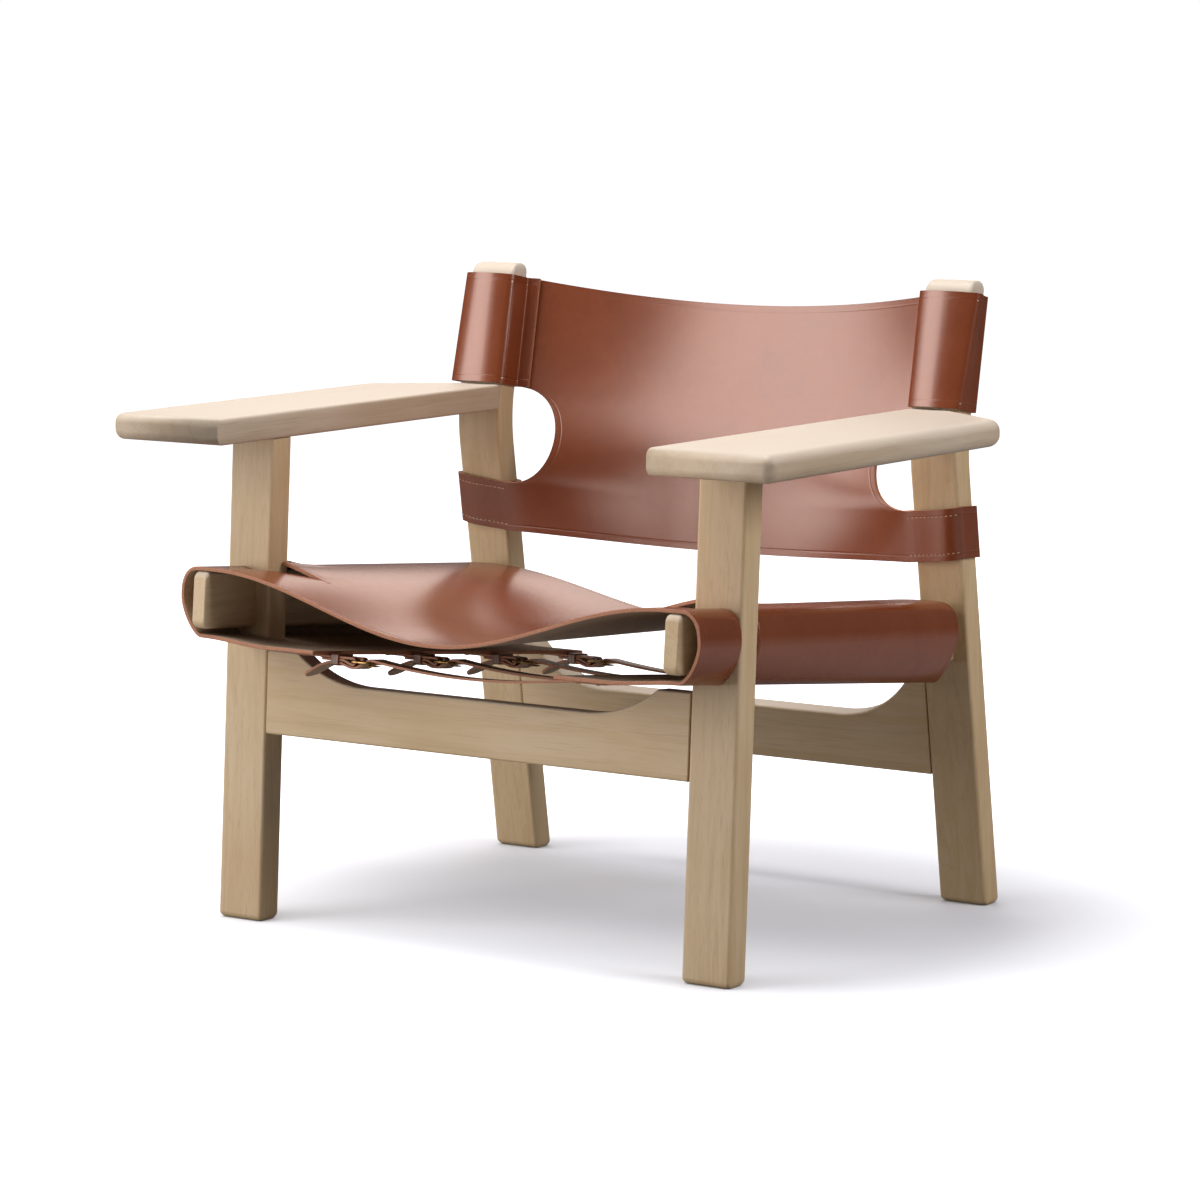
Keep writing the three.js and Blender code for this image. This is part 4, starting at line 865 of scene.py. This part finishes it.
def wrap_grid(post, run, path, side, rise, fall, flare):
    """A path round the post, carried along it: each row sits at its own run, and rises outwards by rise.

    It falls backwards by fall, and its outer front corner stands out by flare, which changes from row to row.
    """
    x, depth = path.T
    corner = np.exp(-((x - LEG_OUTER) / FLARE_WIDE) ** 2 - ((depth + WRAP) / FLARE_DEEP) ** 2)
    y, z = on_post(post, run[:, None], depth[None, :])
    z = z + rise * (np.abs(x) - PANEL_END) - fall * np.clip(depth, 0, None)
    x = side * (x + np.linspace(*flare, len(run))[:, None] * corner)
    along = (run - run[0])[:, None]
    return np.stack([x, y, z], axis=-1), np.minimum(along, along[-1] - along) + 0 * x


outer, inner = LEG_OUTER + WRAP, LEG_INNER - WRAP
deep_low, deep_high = POST_LOWER["depth"], POST_UPPER["depth"]
forward, swell = np.linspace(0, 1, SWELL_STEPS), np.linspace(1, -1, SWELL_STEPS)
# 27/4 times t squared times one minus t is at most one
loop_front = np.stack([PANEL_END + (outer - PANEL_END) * forward,
                       -WRAP - LOOP_SWELL * 27 / 4 * forward**2 * (1 - forward)], axis=-1)
loop_path = rounded_path([*loop_front, [outer, deep_low + WRAP], [inner, deep_low + WRAP],
                          [inner, WRAP + LOOP_SEAM], [inner - SEW, WRAP + LOOP_LAP]],
                         [*[LOOP_EASE] * (SWELL_STEPS - 2), *[LOOP_CORNER] * 4])
sleeve_front = np.stack([LEG_CENTRE + (outer - LEG_CENTRE) * swell,
                         -(WRAP + SLEEVE_ROOM) - SLEEVE_SWELL * (1 - swell**2)], axis=-1)
sleeve_path = rounded_path([[PANEL_END, deep_high + WRAP], [outer, deep_high + WRAP], *sleeve_front,
                            [inner, deep_high - WRAP], [inner - SEW, deep_high + SLEEVE_SEAM]],
                           [*SLEEVE_CORNERS, *[SLEEVE_EASE] * (SWELL_STEPS - 2), *SEAM_CORNERS])
print(len(loop_path), "points round a loop and", len(sleeve_path), "round a sleeve")

# %% [markdown]
# Panel, loops and sleeves are welded where their edges meet, so the back is one sheet. The loops rise
# outwards and fall a little behind the post. The outer corners of the sleeves flare: the left one below,
# and the right one above.

# %% Back leather: one sheet
LOOP_RISE, LOOP_FALL, NO_FLARE = 0.125, 0.2, (0.0, 0.0)
SLEEVE_FLARE = {-1: (6.0, 0.0), 1: (0.0, 9.0)}
BACK_LEATHER, SEAM_LAP = LEATHER - 0.3, 10.0
parts, edges, quads, count = [panel], [panel_edge], [grid_faces(*panel.shape[:2])], panel.size // 3
for side, flare in SLEEVE_FLARE.items():
    for wrap in ((POST_LOWER, run_low, loop_path, side, LOOP_RISE, LOOP_FALL, NO_FLARE),
                 (POST_UPPER, run_high, sleeve_path, side, 0.0, 0.0, flare)):
        points, edge = wrap_grid(*wrap)
        parts.append(points)
        edges.append(edge)
        quads.append(grid_faces(*points.shape[:2], start=count)[:, ::side])
        count += points.size // 3
points, quads, edges = welded(np.concatenate([part.reshape(-1, 3) for part in parts]), np.concatenate(quads),
                              np.concatenate([edge.ravel() for edge in edges]))
back = leather_piece("back_leather", points, quads, BACK_SIDES, "back_sling", edges,
                     BACK_LEATHER, SHEET_EDGE)

# %% [markdown]
# ## Stitching
# The sleeves are closed by a row of stitches in the inner corner, and the loops have a row along each edge.
# One stitch is a small spindle: it is thickest in the middle and dips into the leather at its ends. All the
# stitches of a row are worked out at once from the middle, direction and normal of each one.

# %% Stitches
STITCH_PITCH, STITCH_LONG, STITCH_THICK = 5.4, 3.7, 0.62
STITCH_TAPER, STITCH_STAND, STITCH_DIP = 0.96, 0.25, 0.9
STITCH_RINGS, STITCH_SIDES = 7, 6
SEAM_FROM_END, LOOP_ROWS, FRONT_WITHIN = 6, (2, -3), 0.6


def unit(vectors):
    """Vectors brought to length one."""
    return vectors / np.linalg.norm(vectors, axis=-1, keepdims=True)


def at_runs(values, run, spots):
    """Values [point, 3] of a path, read at given distances along it."""
    return np.stack([np.interp(spots, run, values[:, k]) for k in range(3)], axis=-1)


def stitch_rows(name, lines):
    """Spindles at every pitch along lines; a line is a path and the outward direction at each of its points.

    The girth is about the root of one less t squared, and the dip grows as the fourth power of t.
    """
    centres, heads, ups = [], [], []
    for path, outward in lines:
        run = run_along(path)
        spots = np.arange(STITCH_PITCH / 2, run[-1], STITCH_PITCH)
        centres.append(at_runs(path, run, spots))
        heads.append(unit(at_runs(path, run, spots + 1) - at_runs(path, run, spots - 1)))
        ups.append(unit(at_runs(outward, run, spots)))
    centre, head, up = (np.concatenate(v)[:, None, None, :] for v in (centres, heads, ups))
    t = np.linspace(-1, 1, STITCH_RINGS)[None, :, None, None]
    turn = np.linspace(0, 2 * np.pi, STITCH_SIDES, endpoint=False)[None, None, :, None]
    girth = STITCH_THICK * np.sqrt(np.maximum(1 - STITCH_TAPER * t**2, 0))
    points = (centre + head * (t * STITCH_LONG / 2) + up * (STITCH_STAND - STITCH_DIP * t**4)
              + girth * (np.cos(turn) * np.cross(head, up) + np.sin(turn) * up))
    piece = make_piece(name, points, capped_tubes(len(points), STITCH_RINGS, STITCH_SIDES), [THREAD])
    print(name, len(points), "stitches")
    return piece


def outward_of(points):
    """Directions square to a grid at each of its points."""
    return unit(np.cross(np.gradient(points, axis=1), np.gradient(points, axis=0)))


sleeve_lines, loop_lines = [], []
on_front = np.flatnonzero(loop_path[:, 1] < -WRAP + FRONT_WITHIN)
for side, loop, sleeve in ((-1, *parts[1:3]), (1, *parts[3:5])):
    seam = (slice(1, -1), len(sleeve_path) - SEAM_FROM_END)
    normal = outward_of(sleeve) * side
    sleeve_lines.append((sleeve[seam] + BACK_LEATHER / 2 * normal[seam], normal[seam]))
    normal = outward_of(loop) * side
    for row in LOOP_ROWS:
        outward = normal[row, on_front]
        loop_lines.append((loop[row, on_front] + BACK_LEATHER / 2 * outward, outward))
stitch_rows("sleeve_stitches", sleeve_lines)
stitch_rows("loop_stitches", loop_lines)

# %% [markdown]
# ## Straps and buckles under the seat
# Four straps cross under the seat. Each is drawn in the plane of its buckle, with the heel bar at the
# origin, and is then carried to its hinge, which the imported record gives. The strap from the left flap is
# folded round the heel bar; the billet from the right flap goes behind the end bar, up over the heel bar
# and through a keeper, and then its tail hangs. All four are alike, so each shape is worked out once.

# %% Strap sizes and the way to the chair
BUCKLES = range(1, 5)
STRAP_WIDE, STRAP_THIN, STRAP_EDGE = 22.0, 2.5, 0.5
BAR, BAR_ROUND, BUCKLE_LONG = 3.2, 0.9, 24.0
BAR_CORNER = np.hypot(BAR / 2, BAR / 2 - BAR_ROUND)
STRAP_LEVEL = -(BAR_CORNER + JOINT_GAP + STRAP_THIN / 2)
FOLD_LEVEL = STRAP_LEVEL + STRAP_THIN + JOINT_GAP
TAIL_LEVEL = FOLD_LEVEL + STRAP_THIN + JOINT_GAP
CROSS_LEVEL = -STRAP_LEVEL + STRAP_THIN + JOINT_GAP
FROM_FLAP, LAP, FOLD, HANG, TAIL, TAIL_DROOP, SAG = 32.0, 42.0, 40.0, 31.0, 66.0, 17.0, 9.0
RIGHT_FLAP = 2 * FLAP_END - FROM_FLAP
HINGES = {joint["name"]: joint for joint in frame["record"]["behaviour"]["joints"]}


def at_buckle(number, points):
    """Carries points from a buckle's plane to the chair: about X by half a turn plus the seat's fall."""
    hinge = HINGES[f"tongue_hinge_{number}"]
    place = np.array(hinge["pos_m"]) / MM - [0, DEPTH_SHIFT, 0]
    turn = np.pi + np.arctan2(hinge["axis"][2], hinge["axis"][1])
    x, y, z = np.moveaxis(np.asarray(points, dtype=float), -1, 0)
    turned = [x, y * np.cos(turn) - z * np.sin(turn), y * np.sin(turn) + z * np.cos(turn)]
    return np.stack(turned, axis=-1) + place


print(len(HINGES), "buckles")

# %% [markdown]
# The folded strap has a slot where the tongue passes through its fold. The billet has a long hole, in which
# the tongue can lift. Both openings are quads left out of the strap's grid, whose lanes lie closer in the
# middle to give them straight sides. On a narrow strap the pressed line lies nearer to the edge than on the
# seat. First come the paths of both, seen from the side.

# %% Strap paths
FLAT_STEPS, TURN_STEPS, FOLD_STEPS, BILLET_STEPS = 26, 13, 10, 240
BILLET_EASE, TAIL_EASE, CROSS_START, CROSS_STOP = 5.0, 9.0, 1.35, 0.9


def fold_path():
    """Along under the flap, round the heel bar in a half circle, and back on itself."""
    radius = -STRAP_LEVEL
    flat = np.linspace(-FROM_FLAP - LAP, -1.0, FLAT_STEPS)
    turn = np.linspace(-np.pi / 2, np.pi / 2, TURN_STEPS)
    ease = np.linspace(0, 1, FOLD_STEPS)[1:]
    down = radius + (FOLD_LEVEL - radius) * ease * ease * (3 - 2 * ease)
    rest = np.linspace(-4 * radius - 2, -FOLD, FOLD_STEPS)
    x = np.concatenate([flat, radius * np.cos(turn), -4 * radius * ease, rest])
    z = np.concatenate([0 * flat + STRAP_LEVEL, radius * np.sin(turn), down, 0 * rest + FOLD_LEVEL])
    return np.stack([x, z], axis=-1)


def billet_path():
    """From the right flap behind the end bar, over the heel bar and to the hanging tail, eased at each turn.

    Between the flap and the end bar it sags by SAG in a parabola: four times the share times one minus
    the share.
    """
    radius, climb = -STRAP_LEVEL, BUCKLE_LONG - BAR / 2
    corners = [[RIGHT_FLAP + LAP, STRAP_LEVEL], [climb, STRAP_LEVEL],
               [CROSS_START * radius, CROSS_LEVEL], [-CROSS_STOP * radius, CROSS_LEVEL],
               [-4 * radius - STRAP_THIN, TAIL_LEVEL], [-HANG, TAIL_LEVEL],
               [-(2 * HANG + TAIL) / 3, TAIL_LEVEL + TAIL_DROOP / 4], [-TAIL, TAIL_LEVEL + TAIL_DROOP]]
    path = rounded_path(corners, [*[BILLET_EASE] * 4, *[TAIL_EASE] * 2])
    length = run_along(path)
    even = np.linspace(0, length[-1], BILLET_STEPS)
    x = np.interp(even, length, path[:, 0])
    share = np.clip((x - climb) / (RIGHT_FLAP - climb), 0, 1)
    return np.stack([x, np.interp(even, length, path[:, 1]) + 4 * SAG * share * (1 - share)], axis=-1)


fold, run_out = fold_path(), billet_path()
print(f"a billet is {run_along(run_out)[-1]:.0f} mm long and a folded strap {run_along(fold)[-1]:.0f} mm")

# %% [markdown]
# A path becomes a strap when each of its points is spread sideways into lanes. The billet's tip is rounded
# by narrowing the lanes, and the openings are then left out.

# %% Strap leather
LANES = np.array([-1, -0.93, -0.62, -0.32, -0.19, 0, 0.19, 0.32, 0.62, 0.93, 1])
FOLD_SLOT_START, FOLD_SLOT_HALF = -9.5, 3.5
HOLE_START, HOLE_END, HOLE_HALF = -1.6, 18.5, 2.1
TIP, TIP_SHARE, CREASE_NEARER = 12.0, 0.985, 4.0


def strap_grid(path, half_width):
    """A path [x, z] given width: each lane is a share of the half width, which may change along the path."""
    y = half_width[:, None] * LANES
    x, z = np.broadcast_to(path[:, :1], y.shape), np.broadcast_to(path[:, 1:], y.shape)
    return np.stack([x, y, z], axis=-1)


def strap_edges(points):
    """Distance of each point of a strap to its nearer long edge, moved to bring the crease nearer to it."""
    y = points[..., 1]
    return np.minimum(y - y.min(axis=1, keepdims=True), y.max(axis=1, keepdims=True) - y) + CREASE_NEARER


def rounded_tip(path):
    """Half width along a strap with a rounded tip: half times the root of one less the run squared."""
    length = run_along(path)
    run = np.clip((length - (length[-1] - TIP)) / TIP, 0, TIP_SHARE)
    return STRAP_WIDE / 2 * np.sqrt(1 - run**2)


def open_quads(points, start, end, half):
    """A grid's quads, without those whose middle lies in a slot: start to end, and half to each side."""
    quads = grid_faces(*points.shape[:2])
    x, y, _ = points.reshape(-1, 3)[quads].mean(axis=1).T
    return quads[~((x > start) & (x < end) & (np.abs(y) < half))]


folded = strap_grid(fold, np.full(len(fold), STRAP_WIDE / 2))
folded_quads = open_quads(folded, FOLD_SLOT_START, np.inf, FOLD_SLOT_HALF)
billet = strap_grid(run_out, rounded_tip(run_out))
billet_quads = open_quads(billet, HOLE_START, HOLE_END, HOLE_HALF)[:, ::-1]
for number in BUCKLES:
    for name, node, points, quads in (("folded_strap", "buckle_strap", folded, folded_quads),
                                      ("billet_leather", "billet_strap", billet, billet_quads)):
        leather_piece(f"{name}_{number}", at_buckle(number, points), quads, STRAP_SIDES,
                      f"{node}_{number}", strap_edges(points), STRAP_THIN, STRAP_EDGE)
print("four folded straps and four billets")

# %% [markdown]
# A buckle frame is a round wire bent to a rounded rectangle, and the tongue is a wire that is coiled round
# the heel bar at one end and tapers to the other. Wires are circles carried along a path: the ring at each
# place is spanned by the path's normal and the direction square to its plane.

# %% Frames and tongues
WIRE_SIDES, FRAME_ROUND, FRAME_ROOM = 14, 4.0, 1.0
PIN_STEPS, COIL_STEPS, COIL_END, COIL_THICK = 18, 26, np.radians(338), 0.85
PIN_PLACES, PIN_THICK, PIN_REST = [0, 0.2, 0.7, 1], [0.6, 1.05, 1.15, 0.9], 1.1
PIN_TIP, PIN_ARCH, PIN_FOOT = (3.0, -0.2), (-7.0, 0.5), 0.6


def wire(path, across, radius, closed):
    """A round wire along a flat path: circles in the plane of the path's side direction and of across."""
    heading = np.gradient(path, axis=0)
    if closed:
        heading = np.roll(path, -1, axis=0) - np.roll(path, 1, axis=0)
    side = np.cross(unit(heading), across)
    turn = np.linspace(0, 2 * np.pi, WIRE_SIDES, endpoint=False)[None, :, None]
    spread = np.broadcast_to(np.asarray(radius, dtype=float), (len(path),))[:, None, None]
    return path[:, None] + spread * (np.cos(turn) * side[:, None] + np.sin(turn) * np.asarray(across))


def tongue_path():
    """From the tip on the end bar back to the top of the heel bar, and round it."""
    eye = BAR_CORNER + JOINT_GAP + COIL_THICK
    end_bar = [BUCKLE_LONG, BAR / 2 + JOINT_GAP + PIN_REST]
    tip, over, start = np.add(end_bar, PIN_TIP), np.add(end_bar, PIN_ARCH), np.array([PIN_FOOT, eye])
    t = np.linspace(0, 1, PIN_STEPS)
    turn = np.linspace(np.pi / 2, COIL_END, COIL_STEPS)
    coil = eye * np.stack([np.cos(turn), np.sin(turn)], axis=-1)
    x, z = np.concatenate([eased(t[:, None], tip, over, start), coil]).T
    girth = np.concatenate([np.interp(t, PIN_PLACES, PIN_THICK), np.full(COIL_STEPS, COIL_THICK)])
    return np.stack([x, 0 * x, z], axis=-1), girth


def frame_path():
    """The middle of the buckle's wire: a rounded rectangle from the heel bar to the end bar."""
    half = STRAP_WIDE / 2 + FRAME_ROOM + BAR / 2
    x, y = ring(np.array([BUCKLE_LONG / 2]), np.array([half]), FRAME_ROUND, 9)
    return np.stack([x[0] + BUCKLE_LONG / 2, y[0], 0 * x[0]], axis=-1)


frame_wire = wire(frame_path(), (0, 0, 1), BAR / 2, True)
frame_quads = grid_faces(len(frame_wire) + 1, WIRE_SIDES, closed=True) % (len(frame_wire) * WIRE_SIDES)
pin, girth = tongue_path()
tongue_wire = wire(pin, (0, 1, 0), girth, False)
tongue_faces = capped_tubes(1, len(tongue_wire), WIRE_SIDES)
for number in BUCKLES:
    make_piece(f"frame_wire_{number}", at_buckle(number, frame_wire), [frame_quads], [BRONZE],
               [f"buckle_frame_{number}"])
    make_piece(f"tongue_wire_{number}", at_buckle(number, tongue_wire), tongue_faces, [BRONZE],
               [f"buckle_tongue_{number}"], body=f"tongue_{number}")
print("four buckle frames and four tongues")

# %% [markdown]
# A keeper is a small closed loop of thin leather that holds the billet's tail down on the folded strap.

# %% Keepers
KEEPER_AT, KEEPER_HALF, KEEPER_THIN, KEEPER_EDGE, KEEPER_ROUND = -22.0, 4.5, 1.6, 0.4, 1.2
KEEPER_ROOM, KEEPER_STEPS = JOINT_GAP + KEEPER_THIN / 2, 7


def keeper_band():
    """A rounded rectangle round all the layers of strap, carried along the strap."""
    low = STRAP_LEVEL - STRAP_THIN / 2 - KEEPER_ROOM
    high = TAIL_LEVEL + STRAP_THIN / 2 + KEEPER_ROOM
    half_wide, half_tall = np.array([STRAP_WIDE / 2 + KEEPER_ROOM]), np.array([(high - low) / 2])
    y, z = ring(half_wide, half_tall, KEEPER_ROUND, KEEPER_STEPS)
    x = KEEPER_AT + np.linspace(-KEEPER_HALF, KEEPER_HALF, KEEPER_STEPS)[:, None] + 0 * y
    return np.stack([x, y + 0 * x, z + (high + low) / 2 + 0 * x], axis=-1)


keeper = keeper_band()
keeper_quads = grid_faces(*keeper.shape[:2], closed=True)
keeper_edges = CREASE_NEARER + KEEPER_HALF - np.abs(keeper[..., 0] - KEEPER_AT)
for number in BUCKLES:
    leather_piece(f"keeper_{number}", at_buckle(number, keeper), keeper_quads, STRAP_SIDES,
                  f"strap_keeper_{number}", keeper_edges, KEEPER_THIN, KEEPER_EDGE)
print("four keepers")

# %% [markdown]
# Each strap end is riveted to its flap. A rivet head is a low dome, turned from a profile.

# %% Rivets
RIVET_RADIUS, RIVET_RISE, RIVET_SINK, RIVET_POLE = 3.2, 1.1, 0.1, 0.02
RIVET_RINGS, RIVET_SIDES = 5, 12
RIVET_ROWS, RIVET_LANES = np.array([10.0, 34.0]), np.array([-6.0, 6.0])


def rivet_heads():
    """Domes of revolution: the profile is a quarter of a flat ellipse, placed on both strap ends."""
    rows = np.concatenate([-FROM_FLAP - RIVET_ROWS, RIGHT_FLAP + RIVET_ROWS])
    spots = np.stack(np.meshgrid(rows, RIVET_LANES, indexing="ij"), axis=-1).reshape(-1, 1, 1, 2)
    rise = np.linspace(0, np.pi / 2, RIVET_RINGS)[None, :, None]
    turn = np.linspace(0, 2 * np.pi, RIVET_SIDES, endpoint=False)[None, None, :]
    radius = RIVET_RADIUS * np.cos(rise) + RIVET_POLE
    x, y = spots[..., 0] + radius * np.cos(turn), spots[..., 1] + radius * np.sin(turn)
    z = STRAP_LEVEL + STRAP_THIN / 2 - RIVET_SINK + RIVET_RISE * np.sin(rise) + 0 * x
    return np.stack([x, y, z], axis=-1)


rivets = rivet_heads()
rivet_faces = capped_tubes(len(rivets), RIVET_RINGS, RIVET_SIDES)
for number in BUCKLES:
    make_piece(f"rivets_{number}", at_buckle(number, rivets), rivet_faces, [BRONZE])
print(len(rivets), "rivets on each strap")

# %% [markdown]
# ## Studio
# The photograph has a white floor and soft light. Five soft boxes give that light. A tall one at the left
# is the key and makes the long highlights down the leather. A low one in front adds a gleam, one hangs
# above, a fill stands at the right, and a weak warm one stands behind. For the light that it throws back,
# the floor is a middling grey, so that the chair's underside stays dark. The camera sees it paler, with a
# lift that grows to plain white away from the chair and adds no light to it. The lift is least in an oval
# under the chair, which paints shadow there on top of the real one. An Ambient Occlusion node holds the
# lift back close to the feet, which paints a dark line of shade where they stand.

# %% Floor and light
FLOOR_HALF = 30.0
FLOOR_GREY, FLOOR_SEEN, FLOOR_WHITE = (0.28, 0.28, 0.29, 1), (0.7, 0.7, 0.75, 1), (0.985, 0.985, 1.0, 1)
SHADOW_PLACE, SHADOW_SHAPE = (-0.075, -0.2, 0.0), (0.82, 1.08, 1.0)
LIFT_REACH, LIFT_STRENGTH, FOOT_REACH = (0.15, 0.9), (0.22, 1.0), 0.14


def studio_floor():
    """A large level plane. Its lift is a smooth step in ovals round a place under the chair, which paints
    shadow there.
    """
    corners = np.array([[-1, -1, 0], [1, -1, 0], [1, 1, 0], [-1, 1, 0]]) * FLOOR_HALF
    mesh = bpy.data.meshes.new("studio_floor")
    mesh.from_pydata(corners.tolist(), [], [(0, 1, 2, 3)])
    floor = bpy.data.objects.new("studio_floor", mesh)
    bpy.context.collection.objects.link(floor)
    finish, tree, shader, place = new_finish("studio_floor")
    seen = add_node(tree, "ShaderNodeLightPath").outputs["Is Camera Ray"]
    oval = mapped(tree, place, SHADOW_SHAPE, SHADOW_PLACE)
    reach = add_node(tree, "ShaderNodeVectorMath", {0: oval}, operation="LENGTH").outputs["Value"]
    glow = between(tree, reach, LIFT_REACH, LIFT_STRENGTH, interpolation_type="SMOOTHSTEP")
    # Painted shade: the occlusion lowers the lift next to the feet.
    painted_foot_shade = add_node(tree, "ShaderNodeAmbientOcclusion", {"Distance": FOOT_REACH}, samples=8).outputs["AO"]
    lift = arithmetic(tree, "MULTIPLY", seen, arithmetic(tree, "MULTIPLY", glow, painted_foot_shade))
    set_inputs(tree, shader, {
        "Base Color": mix(tree, seen, FLOOR_GREY, FLOOR_SEEN), "Roughness": 0.9, "Specular IOR Level": 0.0,
        "Emission Color": FLOOR_WHITE, "Emission Strength": lift})
    mesh.materials.append(finish)
    return floor


def soft_light(name, place, target, width, height, power, colour=(1.0, 1.0, 1.0)):
    """A soft box that looks at a point."""
    lamp = bpy.data.lights.new(name, "AREA")
    lamp.shape = "RECTANGLE"
    lamp.size, lamp.size_y = width, height
    lamp.energy, lamp.color = power, colour
    light = bpy.data.objects.new(name, lamp)
    bpy.context.collection.objects.link(light)
    light.location = place
    light.rotation_euler = (Vector(target) - Vector(place)).to_track_quat("-Z", "Y").to_euler()
    return light


studio_floor()
soft_light("key_light", (-2.57, -2.52, 1.75), (0, 0, 1.75), 2.5, 3.4, 112)
soft_light("low_light", (-1.068, -2.857, 0.5), (0, 0.2, 0.45), 1.0, 0.5, 5.6)
soft_light("top_light", (-0.4, -0.3, 3.4), (0, 0, 0.4), 1.7, 1.7, 102)
soft_light("fill_light", (3.3, 0.4, 1.9), (0, 0, 0.4), 1.6, 1.6, 64, (0.97, 0.98, 1.0))
soft_light("rear_light", (-2.0, 3.2, 1.9), (0, 0, 0.4), 2.4, 1.8, 24, (1.0, 0.86, 0.78))
print("a floor and five soft lights")

# %% [markdown]
# The world is white for the camera and gives the chair only a tenth of that, so the backdrop is white and
# the soft boxes still shape the chair. Mirrored rays meet the dim world too: with a white one, the leather
# came out much paler than in the photograph.

# %% World
WORLD_LIGHT, WORLD_SEEN = 0.1, 1.0
world = bpy.data.worlds.new("studio")
bpy.context.scene.world = world
world.use_nodes = True
tree = world.node_tree
seen = add_node(tree, "ShaderNodeLightPath").outputs["Is Camera Ray"]
set_inputs(tree, tree.nodes["Background"], {
    "Color": (1.0, 1.0, 1.0, 1), "Strength": between(tree, seen, WHOLE, (WORLD_LIGHT, WORLD_SEEN))})
bpy.context.scene.view_settings.view_transform = "Standard"
print("a pale world")

# %% [markdown]
# ## Camera
# The camera stands where a fit to the photograph puts it: to the right of the front, higher than the
# armrests, far away, with a long lens.

# %% Camera
CAMERA_TURN, CAMERA_RISE, CAMERA_ROLL = np.radians(35.09), np.radians(7.67), np.radians(-0.25)
CAMERA_FAR, CAMERA_LENS, CAMERA_SENSOR, CAMERA_SIGHT = 4.8473, 137.69, 36.0, 200.0
CAMERA_TARGET = Vector((-0.0033, 0.0141, 0.3345))
away = Vector((np.sin(CAMERA_TURN) * np.cos(CAMERA_RISE), -np.cos(CAMERA_TURN) * np.cos(CAMERA_RISE),
               np.sin(CAMERA_RISE)))
lens = bpy.data.cameras.new("photo_camera")
lens.lens, lens.sensor_width, lens.clip_end = CAMERA_LENS, CAMERA_SENSOR, CAMERA_SIGHT
camera = bpy.data.objects.new("photo_camera", lens)
bpy.context.collection.objects.link(camera)
look = (-away).to_track_quat("-Z", "Y").to_matrix().to_4x4() @ Matrix.Rotation(CAMERA_ROLL, 4, "Z")
camera.matrix_world = Matrix.Translation(CAMERA_TARGET + away * CAMERA_FAR) @ look
bpy.context.scene.camera = camera
print("camera at", [round(v, 3) for v in camera.matrix_world.translation])
